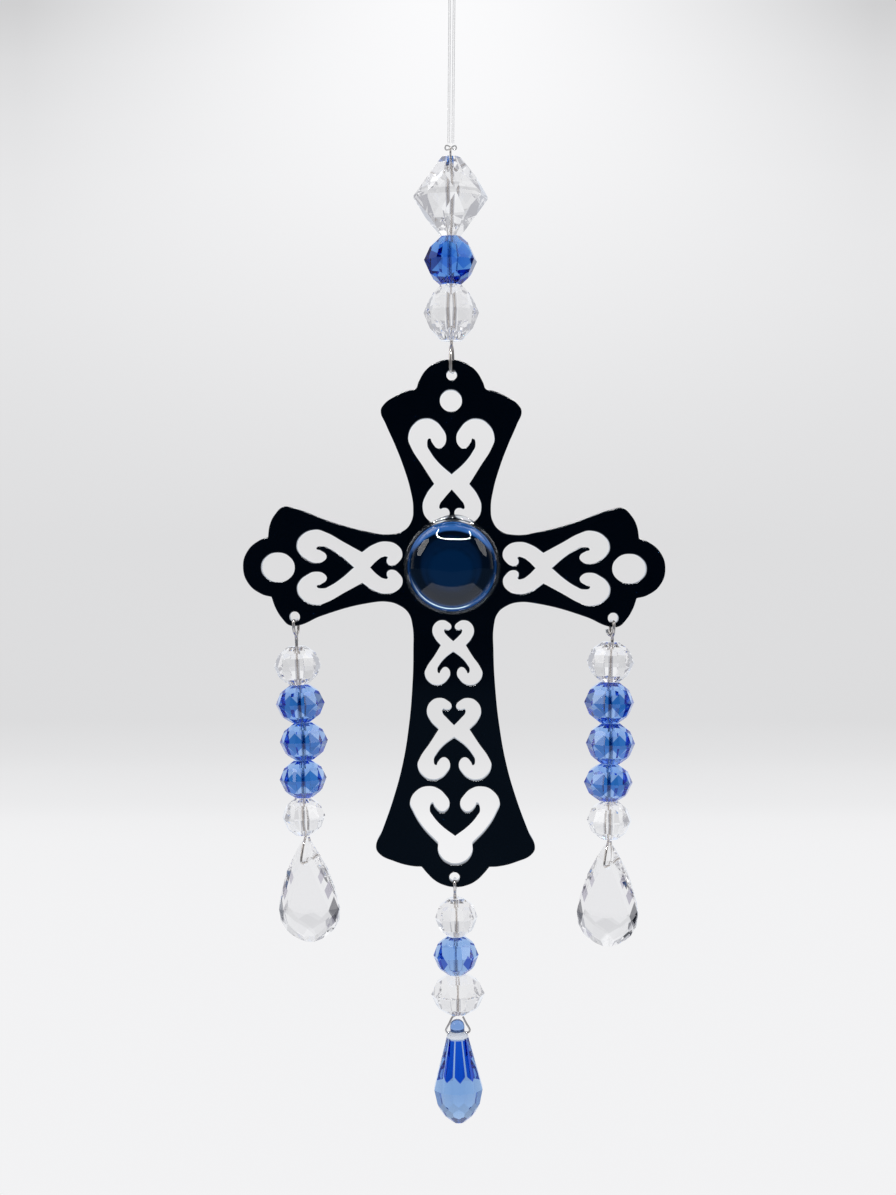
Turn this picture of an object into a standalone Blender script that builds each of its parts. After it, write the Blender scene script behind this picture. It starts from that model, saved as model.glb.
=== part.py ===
"""Beaded cross ornament: a flat pierced cross that hangs from a clear thread.

The cross is cut from one sheet and carries a glass cabochon on its front. A short string of glass
beads joins it to the thread, and three more strings with drops hang from its arms and its foot.
Metres, +Z up, front towards -Y. The origin is where the thread loop hangs on its hook.
"""
import math

import bmesh
import bpy
from mathutils import Vector

MM = 0.001

# Clear distance kept between pieces that touch in the real object.
GAP = 0.3 * MM

# Cross plate. Its own drawing is in millimetres, with the gem's centre as zero.
PLATE_THICKNESS = 3.0 * MM
CROSS_CENTRE_Z = -128.2 * MM
CROSS_LEAN = math.radians(-0.56)
CURVE_STEPS = 2
HOOK_HOLE_RADIUS = 1.05 * MM
TOP_HOLE = (0.2, 38.1)
FOOT_HOLE = (-0.2, -62.1)
LEFT_HOLE = (-31.75, -10.25)
RIGHT_HOLE = (31.75, -10.25)

# The arms are not quite square to the upright, and the right one is a little longer.
ARM_SLOPE = 0.0136
ARM_REACH = 42.0
ARM_EXCESS = 0.33

# Glass cabochon on the front.
GEM_DIAMETER = 18.8 * MM
GEM_RISE = 5.6 * MM
GEM_OFFSET_X = -0.4 * MM
GEM_STEPS = 32

# Wire and the eyes and rings bent from it.
TOP_WIRE_RADIUS = 0.30 * MM
STRING_WIRE_RADIUS = 0.25 * MM
FOOT_WIRE_RADIUS = 0.20 * MM
EYE_WIRE_RADIUS = 0.20 * MM
EYE_RADIUS = 0.80 * MM
RING_RADIUS = 2.4 * MM
RING_DROP = 0.95 * MM
BORE_RADIUS = 0.62 * MM

# Hanging thread.
THREAD_X = -0.35 * MM
THREAD_RADIUS = 0.25 * MM
THREAD_SPREAD = 0.42 * MM
THREAD_BEND = 1.3 * MM
THREAD_POINTS = 56
KNOT_POINTS = 20
KNOT_RADIUS = 0.18 * MM
KNOT_WIDTH = 2.3 * MM
KNOT_DEPTH = 0.44 * MM
KNOT_HEIGHT = 0.84 * MM

# Bead strings, from the end nearest the cross: bead kind, then its width, its height and how far
# it sits to the right of the string's line, in millimetres.
TOP_BEADS = [("clear_bead", 11.1, 10.9, 0.0), ("blue_bead", 10.6, 9.6, -0.1),
             ("bicone_bead", 14.8, 15.8, 0.0)]
LEFT_BEADS = [("clear_bead_1", 9.1, 7.4, 0.0), ("blue_bead_1", 9.5, 7.3, 0.15),
              ("blue_bead_2", 9.2, 7.2, 0.5), ("blue_bead_3", 9.1, 7.2, 0.0),
              ("clear_bead_2", 8.4, 7.2, -0.25)]
RIGHT_BEADS = [("clear_bead_1", 9.1, 7.7, -0.3), ("blue_bead_1", 9.7, 7.9, -0.4),
               ("blue_bead_2", 9.4, 7.9, 0.0), ("blue_bead_3", 9.4, 7.1, -0.3),
               ("clear_bead_2", 8.8, 7.3, 0.0)]
FOOT_BEADS = [("clear_bead_1", 8.2, 7.3, 0.2), ("blue_bead", 8.7, 7.3, 0.0),
              ("clear_bead_2", 10.2, 7.6, 0.25)]
TOP_FIRST_BEAD = 7.1 * MM
LEFT_FIRST_BEAD = 6.05 * MM
RIGHT_FIRST_BEAD = 4.95 * MM
FOOT_FIRST_BEAD = 4.5 * MM

# How far each string leans as it hangs, and how far its drop has turned on the wire.
TOP_LEAN = math.radians(-0.3)
LEFT_LEAN = math.radians(-2.8)
RIGHT_LEAN = math.radians(1.0)
FOOT_LEAN = math.radians(-1.05)
DROP_TURN = math.radians(-30.0)

# Drops.
LEFT_DROP_WIDTH = 13.2 * MM
RIGHT_DROP_WIDTH = 13.6 * MM
DROP_DEPTH = 6.4 * MM
LEFT_DROP_LENGTH = 20.1 * MM
RIGHT_DROP_LENGTH = 20.9 * MM
DROP_BELOW_BEAD = 1.4 * MM
DROP_HOLE_DEPTH = 4.1 * MM
DROP_HOLE_RADIUS = 0.6 * MM
BORE_ROD_LENGTH = 18.0 * MM
BORE_SIDES = 12
BLUE_DROP_SIDES = 10
BLUE_DROP_HOLE_DEPTH = 2.7 * MM
BLUE_DROP_HOLE_RADIUS = 0.55 * MM
BLUE_DROP_BELOW_BEAD = 1.3 * MM

# Facets round a bead, and how far each bead is turned from the one before it on the wire.
BEAD_SIDES = 8
BEAD_SPIN = math.radians(48.0)


def start_clean():
    """Empty the scene and make one collection for the pieces and one for the cutters."""
    for leftover in list(bpy.data.objects):
        bpy.data.objects.remove(leftover, do_unlink=True)
    parts = bpy.data.collections.new("beaded_cross_ornament")
    cutters = bpy.data.collections.new("cutters")
    bpy.context.scene.collection.children.link(parts)
    bpy.context.scene.collection.children.link(cutters)
    return parts, cutters


PARTS, CUTTERS = start_clean()


def finish(name, colour, roughness, metallic=0.0, transmission=0.0):
    """A new Principled material for one piece."""
    material = bpy.data.materials.new(name)
    material.use_nodes = True
    shader = material.node_tree.nodes["Principled BSDF"]
    shader.inputs["Base Color"].default_value = (*colour, 1.0)
    shader.inputs["Roughness"].default_value = roughness
    shader.inputs["Metallic"].default_value = metallic
    shader.inputs["Transmission Weight"].default_value = transmission
    return material


def clear_glass(name):
    return finish(name + "_glass", (0.95, 0.96, 0.97), 0.02, transmission=1.0)


def blue_glass(name):
    return finish(name + "_glass", (0.10, 0.25, 0.75), 0.02, transmission=1.0)


def steel(name):
    return finish(name + "_steel", (0.62, 0.61, 0.58), 0.25, metallic=1.0)


def add_piece(name, data, material, parent=None):
    """Link an object made of the given mesh or curve, under its string's empty if it has one."""
    piece = bpy.data.objects.new(name, data)
    piece.data.materials.append(material)
    PARTS.objects.link(piece)
    piece.parent = parent
    return piece


def as_cut(x, z):
    """A point of the square drawing, in millimetres, moved to where the cross is really cut."""
    return x + ARM_EXCESS * (x / ARM_REACH) ** 2, z - ARM_SLOPE * x


def on_cross(place):
    """World place of a point of the cross's drawing, with the cross hung a little out of plumb."""
    x, z = (share * MM for share in as_cut(*place))
    return (x * math.cos(CROSS_LEAN) + z * math.sin(CROSS_LEAN), 0.0,
            CROSS_CENTRE_Z + z * math.cos(CROSS_LEAN) - x * math.sin(CROSS_LEAN))


def hang_point(name, hole, lean):
    """An empty at a plate hole; a string is modelled below or above it and leans with it."""
    empty = bpy.data.objects.new(name, None)
    empty.location = on_cross(hole)
    empty.rotation_euler = (0.0, lean, 0.0)
    PARTS.objects.link(empty)
    return empty


# Cross plate

# The two scrolls that every cut-out is made of, as shares of the scroll's length from the waist
# and of its half-width from the arm's middle line.
LARGE_SCROLL = [(0.33, 0.31), (0.50, 0.50), (0.59, 0.56), (0.695, 0.50), (0.635, 0.45),
                (0.543, 0.31), (0.57, 0.19), (0.72, 0.12), (0.86, 0.22), (0.96, 0.37),
                (1.00, 0.57), (0.935, 0.83), (0.71, 1.00), (0.55, 0.93), (0.27, 0.665)]
SMALL_SCROLL = [(0.38, 0.28), (0.53, 0.42), (0.63, 0.41), (0.61, 0.29), (0.63, 0.15),
                (0.76, 0.085), (0.92, 0.24), (1.00, 0.50), (0.90, 0.83), (0.59, 1.00),
                (0.27, 0.87)]


def arc(centre, radius, start, end, steps):
    """Points on a round stretch of outline, angles in degrees from the drawing's x axis."""
    points = []
    for step in range(steps + 1):
        angle = math.radians(start + (end - start) * step / steps)
        points.append((centre[0] + radius * math.cos(angle), centre[1] + radius * math.sin(angle)))
    return points


def scroll(shape, length, half_width):
    return [(along * length, across * half_width) for along, across in shape]


def mirrored(half):
    """A closed outline from the half whose first and last points lie on the middle line."""
    other = [(along, -across) for along, across in reversed(half[1:-1])]
    return half + other


def add_outline(curve, points, corners=()):
    """One closed spline through the points, smooth except at the listed corner points."""
    spline = curve.splines.new("BEZIER")
    spline.bezier_points.add(len(points) - 1)
    spline.use_cyclic_u = True
    for index, point in enumerate(points):
        x, z = as_cut(*point)
        knot = spline.bezier_points[index]
        knot.co = (x * MM, z * MM, 0.0)
        kind = "VECTOR" if index in corners else "AUTO"
        knot.handle_left_type = kind
        knot.handle_right_type = kind


def add_round_hole(curve, x, z, radius_x, radius_z):
    add_outline(curve, [(x + radius_x * c, z + radius_z * s) for c, s in arc((0, 0), 1, 0, 315, 7)])


def add_scroll_cross(curve, waist, outward, large, small, waist_half):
    """An X of two large and two small scrolls. A scroll is (length, half-width, tongue's setback)."""
    large_length, large_half, large_tip = large
    small_length, small_half, small_tip = small
    half = [(large_tip, 0.0)] + scroll(LARGE_SCROLL, large_length, large_half)
    half.append((0.0, waist_half))
    waist_index = len(half) - 1
    half += [(-along, across) for along, across in reversed(scroll(SMALL_SCROLL, small_length, small_half))]
    half.append((-small_tip, 0.0))
    end_index = len(half) - 1
    outline = mirrored(half)
    corners = (0, waist_index, end_index, len(outline) - waist_index)
    ox, oz = outward
    points = [(waist[0] + along * ox - across * oz, waist[1] + along * oz + across * ox)
              for along, across in outline]
    add_outline(curve, points, corners)


def add_foot_heart(curve):
    """The heart in the foot of the cross, open below into a round."""
    joint_height = -55.5
    round_centre = (0.0, -56.2)
    round_radius = 3.5
    half = [(1.7, 0.0)] + scroll(LARGE_SCROLL[:-1], 11.6, 8.95)
    half += [(3.2, 6.4), (0.0, 3.4)]
    joint_index = len(half) - 1
    for x, z in arc(round_centre, round_radius, -12, -90, 3):
        half.append((z - joint_height, x))
    outline = mirrored(half)
    points = [(across, joint_height + along) for along, across in outline]
    add_outline(curve, points, (0, joint_index, len(outline) - joint_index))


def cross_outline():
    """The right half of the cross from the top lobe to the foot lobe, and its sharp notches."""
    half = [(0.0, 41.2)] + arc((0.0, 34.35), 6.85, 68, 20, 2)
    half += [(7.05, 35.3), (8.3, 35.05), (11.2, 33.8), (13.5, 32.1), (14.05, 30.9), (13.1, 28.3),
             (11.3, 24.2), (9.65, 19.9), (8.25, 15.1), (7.75, 11.5), (8.1, 9.0), (9.6, 7.1),
             (12.6, 6.3), (17.0, 6.85), (24.0, 8.7), (31.9, 11.5), (33.7, 11.75), (35.6, 10.1),
             (36.6, 8.1), (37.0, 5.6)]
    upper_notch = len(half) - 1
    half += arc((36.25, -0.3), 5.85, 65, -68, 4)
    half += [(36.4, -6.3), (35.6, -8.5), (34.2, -10.7), (32.8, -11.95), (30.9, -11.95),
             (26.5, -10.1), (16.5, -7.4), (12.9, -7.2), (10.7, -7.9), (8.9, -9.4), (8.15, -11.7),
             (8.0, -17.0), (8.3, -24.5), (9.05, -32.0), (10.35, -39.5), (12.3, -46.5),
             (14.6, -52.9), (15.85, -56.0), (15.3, -57.3), (12.2, -58.9), (8.6, -59.85),
             (6.75, -59.95)]
    foot_notch = len(half) - 1
    half += arc((0.0, -56.8), 7.2, -38, -90, 3)
    other = [(-x, z) for x, z in reversed(half[1:-1])]
    outline = half + other
    count = len(outline)
    side_notch = upper_notch + 6
    corners = (upper_notch, side_notch, foot_notch)
    return outline, corners + tuple(count - index for index in corners)


def cross_plate():
    """The pierced cross, cut from one sheet."""
    drawing = bpy.data.curves.new("cross_plate", "CURVE")
    drawing.dimensions = "2D"
    drawing.fill_mode = "BOTH"
    drawing.extrude = PLATE_THICKNESS / 2
    drawing.resolution_u = CURVE_STEPS
    outline, corners = cross_outline()
    add_outline(drawing, outline, corners)

    up, down, right, left = (0, 1), (0, -1), (1, 0), (-1, 0)
    add_scroll_cross(drawing, (0, 16.4), up, (13.05, 8.6, 1.9), (7.9, 5.85, 1.1), 3.5)
    add_scroll_cross(drawing, (0, -15.8), down, (8.0, 5.75, 1.25), (5.0, 4.15, 0.8), 2.5)
    add_scroll_cross(drawing, (0, -32.6), down, (10.2, 7.35, 1.65), (6.3, 5.4, 0.85), 3.1)
    for side, outward in ((1, right), (-1, left)):
        add_scroll_cross(drawing, (18.1 * side, -0.35), outward, (13.15, 7.5, 1.65), (8.1, 5.2, 1.6), 3.05)
        add_round_hole(drawing, 35.05 * side, -0.4, 3.4, 2.95)
    add_foot_heart(drawing)
    add_round_hole(drawing, 0, 33.0, 2.2, 2.2)
    hook_hole = HOOK_HOLE_RADIUS / MM
    for x, z in (TOP_HOLE, FOOT_HOLE, LEFT_HOLE, RIGHT_HOLE):
        add_round_hole(drawing, x, z, hook_hole, hook_hole)

    black = finish("cross_plate_gloss_black", (0.004, 0.006, 0.012), 0.12)
    plate = add_piece("cross_plate", drawing, black)
    plate.location = (0.0, 0.0, CROSS_CENTRE_Z)
    plate.rotation_euler = (math.pi / 2, CROSS_LEAN, 0.0)


def centre_gem():
    """The glass cabochon: a turned dome with a rounded rim and a flat back, on the plate's front."""
    radius = GEM_DIAMETER / 2
    profile = [(0.0, 1.0), (0.30, 0.965), (0.56, 0.86), (0.78, 0.68), (0.93, 0.46), (1.0, 0.24),
               (0.97, 0.09), (0.86, 0.0), (0.0, 0.0)]
    mesh = bpy.data.meshes.new("centre_gem")
    points = [(share_r * radius, 0.0, share_z * GEM_RISE) for share_r, share_z in profile]
    edges = [(index, index + 1) for index in range(len(points) - 1)]
    mesh.from_pydata(points, edges, [])
    glass = finish("gem_blue_glass", (0.02, 0.08, 0.28), 0.02, transmission=1.0)
    gem = add_piece("centre_gem", mesh, glass)
    turn = gem.modifiers.new("turn", "SCREW")
    turn.steps = GEM_STEPS
    turn.render_steps = GEM_STEPS
    turn.use_merge_vertices = True
    turn.merge_threshold = 0.00001
    gem.location = (GEM_OFFSET_X, -PLATE_THICKNESS / 2 - GAP, CROSS_CENTRE_Z)
    gem.rotation_euler = (math.pi / 2, 0.0, 0.0)


# Glass beads and drops

def ring_loft(name, rings, sides, through):
    """A closed skin over rings of points. A ring is (radius, height, half-step turn).

    With through, the last ring is joined to the first, so the bead has a bore; otherwise both
    end rings are closed with a flat face.
    """
    mesh = bpy.data.meshes.new(name)
    work = bmesh.new()
    loops = []
    for radius, height, turned in rings:
        loop = []
        for side in range(sides):
            angle = 2 * math.pi * (side + 0.5 * turned) / sides
            loop.append(work.verts.new((radius * math.cos(angle), radius * math.sin(angle), height)))
        loops.append(loop)
    pairs = list(zip(range(len(rings) - 1), range(1, len(rings))))
    if through:
        pairs.append((len(rings) - 1, 0))
    for first, second in pairs:
        upper, lower = loops[first], loops[second]
        shift = rings[second][2] - rings[first][2]
        for side in range(sides):
            following = (side + 1) % sides
            if shift == 0:
                work.faces.new((upper[side], lower[side], lower[following], upper[following]))
            elif shift > 0:
                work.faces.new((upper[side], lower[side], upper[following]))
                work.faces.new((lower[side], lower[following], upper[following]))
            else:
                work.faces.new((upper[side], lower[side], lower[following]))
                work.faces.new((upper[side], lower[following], upper[following]))
    if not through:
        work.faces.new(loops[0])
        work.faces.new(list(reversed(loops[-1])))
    bmesh.ops.recalc_face_normals(work, faces=work.faces)
    work.to_mesh(mesh)
    work.free()
    return mesh


def round_bead_mesh(name, width, height):
    """A round faceted bead: a flat ring at each end, two turned rings and a girdle."""
    radius, half = width / 2, height / 2
    rings = [(BORE_RADIUS, half, 0), (0.36 * radius, half, 0), (0.82 * radius, 0.56 * half, 1),
             (radius, 0.0, 0), (0.84 * radius, -0.56 * half, 1), (0.38 * radius, -half, 0),
             (BORE_RADIUS, -half, 0)]
    return ring_loft(name, rings, BEAD_SIDES, True)


def bicone_bead_mesh(name, width, height):
    """The large double cone, with kite facets above and below a narrow girdle."""
    radius, half = width / 2, height / 2
    rings = [(BORE_RADIUS, half, 0), (0.26 * radius, half, 0), (0.78 * radius, 0.34 * half, 1),
             (radius, 0.03 * half, 0), (radius, -0.05 * half, 0), (0.76 * radius, -0.42 * half, 1),
             (0.31 * radius, -half, 0), (BORE_RADIUS, -half, 0)]
    return ring_loft(name, rings, BEAD_SIDES, True)


def add_beads(prefix, beads, first, direction, parent):
    """Thread the beads from the hang point outwards.

    Returns the distance of the last bead's far end, and the wire's way through the beads.
    """
    reach = first
    spin = 0.0
    wire = []
    for kind, width, height, aside in beads:
        name = prefix + "_" + kind
        centre = reach + height * MM / 2
        if "bicone" in kind:
            mesh = bicone_bead_mesh(name, width * MM, height * MM)
        else:
            mesh = round_bead_mesh(name, width * MM, height * MM)
        glass = blue_glass(name) if "blue" in kind else clear_glass(name)
        bead = add_piece(name, mesh, glass, parent)
        bead.location = (aside * MM, 0.0, direction * centre)
        bead.rotation_euler = (0.0, 0.0, spin)
        wire.append(Vector(bead.location))
        spin += BEAD_SPIN
        reach += height * MM + GAP
    return reach - GAP, wire


def bore_cutter(name, radius, location, rotation, parent):
    """A rod that a drop is bored with."""
    bpy.ops.mesh.primitive_cylinder_add(vertices=BORE_SIDES, radius=radius, depth=BORE_ROD_LENGTH)
    cutter = bpy.context.active_object
    cutter.name = name
    for collection in list(cutter.users_collection):
        collection.objects.unlink(cutter)
    CUTTERS.objects.link(cutter)
    cutter.parent = parent
    cutter.location = location
    cutter.rotation_euler = rotation
    cutter.hide_render = True
    cutter.display_type = "WIRE"
    return cutter


def bore(piece, cutter):
    cut = piece.modifiers.new("bore", "BOOLEAN")
    cut.object = cutter
    cut.operation = "DIFFERENCE"


# Shares of a clear drop's length below its tip and of its half-width, down one side of its edge.
DROP_EDGE = [(0.0, 0.13), (0.09, 0.42), (0.30, 0.76), (0.56, 1.0), (0.74, 0.98), (0.87, 0.76),
             (0.96, 0.42), (1.0, 0.10)]


def clear_drop_mesh(name, width, length):
    """A flat almond drop: a thin edge, and on each face a kite-shaped table above small facets."""
    half_width, half_depth = width / 2, DROP_DEPTH / 2
    edge_half = 0.07 * DROP_DEPTH
    table_side = 0.72 * half_width
    corners = []
    for down, across in DROP_EDGE:
        for side in (-1, 1):
            for face in (-1, 1):
                corners.append((side * across * half_width, face * edge_half, -down * length))
    for face in (-1, 1):
        corners.append((0.0, face * 0.50 * half_depth, -0.15 * length))
        corners.append((0.0, face * half_depth, -0.71 * length))
        corners.append((0.0, face * 0.66 * half_depth, -0.88 * length))
        for side in (-1, 1):
            corners.append((side * table_side, face * 0.88 * half_depth, -0.60 * length))
            corners.append((side * 0.40 * half_width, face * 0.80 * half_depth, -0.80 * length))
    work = bmesh.new()
    for corner in corners:
        work.verts.new(corner)
    hull = bmesh.ops.convex_hull(work, input=work.verts)
    inside = [item for item in hull["geom_interior"] if isinstance(item, bmesh.types.BMVert)]
    bmesh.ops.delete(work, geom=inside, context="VERTS")
    bmesh.ops.dissolve_limit(work, angle_limit=math.radians(1.0), verts=work.verts, edges=work.edges)
    bmesh.ops.recalc_face_normals(work, faces=work.faces)
    mesh = bpy.data.meshes.new(name)
    work.to_mesh(mesh)
    work.free()
    return mesh


def clear_drop(prefix, width, length, reach, parent):
    """A clear almond drop, bored from front to back near its tip and turned a little on its wire."""
    name = prefix + "_drop"
    top = -(reach + DROP_BELOW_BEAD)
    drop = add_piece(name, clear_drop_mesh(name, width, length), clear_glass(name), parent)
    drop.location = (0.0, 0.0, top)
    drop.rotation_euler = (0.0, 0.0, DROP_TURN)
    hole = (0.0, 0.0, top - DROP_HOLE_DEPTH)
    rotation = (math.pi / 2, 0.0, DROP_TURN)
    bore(drop, bore_cutter(name + "_bore", DROP_HOLE_RADIUS, hole, rotation, parent))


def blue_drop(reach, parent):
    """The blue briolette: a round nub and neck above long facets, bored from side to side."""
    rings = [(0.55, 0.0, 0), (1.25, -0.45, 0), (1.50, -1.35, 0), (1.48, -2.2, 0), (1.62, -2.9, 0),
             (2.15, -3.6, 0), (4.40, -11.3, 1), (5.05, -13.7, 0), (4.25, -17.4, 1), (2.50, -19.4, 0),
             (0.35, -20.5, 0)]
    rings = [(radius * MM, height * MM, turned) for radius, height, turned in rings]
    top = -(reach + BLUE_DROP_BELOW_BEAD)
    mesh = ring_loft("blue_drop", rings, BLUE_DROP_SIDES, False)
    drop = add_piece("blue_drop", mesh, blue_glass("blue_drop"), parent)
    drop.location = (0.0, 0.0, top)
    hole = (0.0, 0.0, top - BLUE_DROP_HOLE_DEPTH)
    rotation = (0.0, math.pi / 2, 0.0)
    bore(drop, bore_cutter("blue_drop_bore", BLUE_DROP_HOLE_RADIUS, hole, rotation, parent))
    return hole[2]


# Wires and thread

def smooth_path(points, steps):
    """Points on a smooth curve through the given ones, ends included."""
    route = [Vector(point) for point in points]
    ends = [2 * route[0] - route[1]] + route + [2 * route[-1] - route[-2]]
    path = []
    for index in range(1, len(ends) - 2):
        before, here, there, after = ends[index - 1:index + 3]
        for step in range(steps):
            t = step / steps
            path.append(0.5 * (2 * here + (there - before) * t
                               + (2 * before - 5 * here + 4 * there - after) * t * t
                               + (3 * here - before - 3 * there + after) * t ** 3))
    path.append(route[-1])
    return path


def add_tube(name, path, radius, material, parent=None, closed=False, radii=None):
    """A round wire or thread along the path, with its ends closed."""
    curve = bpy.data.curves.new(name, "CURVE")
    curve.dimensions = "3D"
    curve.bevel_depth = radius
    curve.bevel_resolution = 2
    curve.use_fill_caps = True
    spline = curve.splines.new("POLY")
    spline.points.add(len(path) - 1)
    spline.use_cyclic_u = closed
    for index, place in enumerate(path):
        spline.points[index].co = (*place, 1.0)
        if radii:
            spline.points[index].radius = radii[index]
    return add_piece(name, curve, material, parent)


def ring_points(direction, stretch):
    """A ring through a plate hole, front leg first, ending beside the shank it was bent from."""
    near = direction * (HOOK_HOLE_RADIUS + RING_DROP)
    far = near + direction * stretch
    turns = [(115, far), (145, far), (180, far)]
    if stretch > 0:
        turns.append((180, near))
    turns += [(degrees, near) for degrees in range(210, 361, 30)]
    if stretch > 0:
        turns.append((360, far))
    turns += [(390, far), (415, far)]
    points = []
    for degrees, centre in turns:
        angle = math.radians(degrees)
        y = RING_RADIUS * math.cos(angle)
        z = centre + direction * RING_RADIUS * math.sin(angle)
        points.append((0.0, y, z))
    return points, far + direction * RING_RADIUS


def shank_start(direction, ring_end, points, twist):
    """The wire from the ring's free end round to the shank, which starts a twist's length past it."""
    lead = [(0.0, 0.0, ring_end + direction * twist), (0.0, -0.25 * MM, ring_end + direction * twist / 3)]
    path = [Vector(point) for point in lead + points]
    path.reverse()
    return path


def top_wire(reach, way, parent):
    """The top string's wire: a long ring through the plate, the shank, and a small eye for the thread."""
    points, ring_end = ring_points(1, 1.4 * MM)
    shank = shank_start(1, ring_end, points, 1.0 * MM) + way
    eye_centre = reach + 0.5 * MM + EYE_RADIUS
    eye = []
    for degrees in range(270, -61, -30):
        angle = math.radians(degrees)
        eye.append(Vector((0.0, EYE_RADIUS * math.cos(angle), eye_centre + EYE_RADIUS * math.sin(angle))))
    shank.append(Vector((0.0, 0.0, reach - 1.0 * MM)))
    thin = EYE_WIRE_RADIUS / TOP_WIRE_RADIUS
    radii = [1.0] * len(shank) + [thin] * len(eye)
    add_tube("top_wire", shank + eye, TOP_WIRE_RADIUS, steel("top_wire"), parent, radii=radii)
    return eye_centre


def side_wire(prefix, reach, way, parent):
    """A side string's wire: the ring in the plate, the shank, and a loop through the drop's hole."""
    points, ring_end = ring_points(-1, 0.0)
    shank = shank_start(-1, ring_end, points, 0.9 * MM) + way
    hole = -(reach + DROP_BELOW_BEAD + DROP_HOLE_DEPTH)
    side = 2.45 * MM
    loop = [(0.0, -reach + 0.2 * MM), (-0.2 * MM, -reach - 0.45 * MM), (-1.4 * MM, -reach - 2.3 * MM),
            (-side, hole + 0.7 * MM), (-side + 0.35 * MM, hole + 0.05 * MM), (-1.2 * MM, hole),
            (1.2 * MM, hole), (side - 0.35 * MM, hole + 0.05 * MM), (side, hole + 0.7 * MM),
            (1.75 * MM, -reach - 2.3 * MM), (1.15 * MM, -reach - 0.9 * MM)]
    across = Vector((math.sin(-DROP_TURN), math.cos(-DROP_TURN), 0.0))
    lower = [across * distance + Vector((0.0, 0.0, height)) for distance, height in loop]
    path = shank + smooth_path(lower, 2)
    add_tube(prefix + "_wire", path, STRING_WIRE_RADIUS, steel(prefix + "_wire"), parent)


def foot_wire(reach, way, hole, parent):
    """The foot string's wire, whose end is bent into a three-cornered bail for the blue drop."""
    points, ring_end = ring_points(-1, 0.0)
    shank = shank_start(-1, ring_end, points, 0.5 * MM) + way
    end = -reach
    bail = [(0.0, end + 0.2 * MM), (-0.15 * MM, end - 0.35 * MM), (-0.95 * MM, end - 0.85 * MM),
            (-1.55 * MM, end - 2.0 * MM), (-2.25 * MM, hole + 0.75 * MM),
            (-2.15 * MM, hole + 0.15 * MM), (-1.6 * MM, hole), (1.6 * MM, hole),
            (2.35 * MM, hole + 0.15 * MM), (2.45 * MM, hole + 0.75 * MM),
            (1.75 * MM, end - 2.0 * MM), (1.15 * MM, end - 0.75 * MM)]
    lower = [Vector((distance, 0.0, height)) for distance, height in bail]
    path = shank + smooth_path(lower, 2)
    add_tube("foot_wire", path, FOOT_WIRE_RADIUS, steel("foot_wire"), parent)


def thread_knot(height):
    """The thread's knot: a small flat bow through the wire's eye."""
    path = []
    for step in range(KNOT_POINTS):
        angle = 2 * math.pi * step / KNOT_POINTS
        x = KNOT_WIDTH / 2 * math.cos(angle)
        y = KNOT_DEPTH / 2 * math.sin(angle)
        z = height + KNOT_HEIGHT / 2 * math.sin(2 * angle)
        path.append(Vector((THREAD_X + x, y, z)))
    nylon = finish("thread_knot_nylon", (0.92, 0.92, 0.92), 0.2)
    add_tube("thread_knot", path, KNOT_RADIUS, nylon, closed=True)


def hanging_thread(knot_height):
    """The doubled thread: up from the knot, over the hook at the origin and down again."""
    end = knot_height + 0.95 * MM
    side = [(THREAD_SPREAD, end), (THREAD_SPREAD, -34 * MM), (THREAD_SPREAD, -24 * MM),
            (THREAD_SPREAD + 0.05 * MM, -14 * MM), (0.75 * MM, -8.0 * MM),
            (1.15 * MM, -4.2 * MM), (THREAD_BEND, -1.9 * MM), (THREAD_BEND * 0.75, -0.5 * MM)]
    left = [Vector((THREAD_X * z / end - x, 0.0, z)) for x, z in side]
    right = [Vector((THREAD_X * z / end + x, 0.0, z)) for x, z in reversed(side)]
    route = left + [Vector((0.0, 0.0, 0.0))] + right
    dense = smooth_path(route, 40)
    lengths = [0.0]
    for before, after in zip(dense, dense[1:]):
        lengths.append(lengths[-1] + (after - before).length)
    path = []
    for index in range(THREAD_POINTS):
        wanted = lengths[-1] * index / (THREAD_POINTS - 1)
        nearest = min(range(len(lengths)), key=lambda spot: abs(lengths[spot] - wanted))
        path.append(dense[nearest])
    nylon = finish("hanging_thread_nylon", (0.92, 0.92, 0.92), 0.2)
    add_tube("hanging_thread", path, THREAD_RADIUS, nylon)


def build():
    cross_plate()
    centre_gem()

    top = hang_point("top_string", TOP_HOLE, TOP_LEAN)
    reach, way = add_beads("top", TOP_BEADS, TOP_FIRST_BEAD, 1, top)
    eye_centre = top_wire(reach, way, top)
    knot_height = top.location.z + eye_centre + 0.3 * MM
    thread_knot(knot_height)
    hanging_thread(knot_height)

    left = hang_point("left_string", LEFT_HOLE, LEFT_LEAN)
    reach, way = add_beads("left", LEFT_BEADS, LEFT_FIRST_BEAD, -1, left)
    clear_drop("left", LEFT_DROP_WIDTH, LEFT_DROP_LENGTH, reach, left)
    side_wire("left", reach, way, left)

    right = hang_point("right_string", RIGHT_HOLE, RIGHT_LEAN)
    reach, way = add_beads("right", RIGHT_BEADS, RIGHT_FIRST_BEAD, -1, right)
    clear_drop("right", RIGHT_DROP_WIDTH, RIGHT_DROP_LENGTH, reach, right)
    side_wire("right", reach, way, right)

    foot = hang_point("foot_string", FOOT_HOLE, FOOT_LEAN)
    reach, way = add_beads("foot", FOOT_BEADS, FOOT_FIRST_BEAD, -1, foot)
    hole = blue_drop(reach, foot)
    foot_wire(reach, way, hole, foot)


build()
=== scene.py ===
"""Beaded cross ornament: the looks of a pierced black cross with glass beads, hung on clear thread.

Metres, +Z up, the front towards -Y. The origin is where the thread loop hangs on its hook.
"""
import math

import bmesh
import bpy
from mathutils import Matrix, Vector


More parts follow.
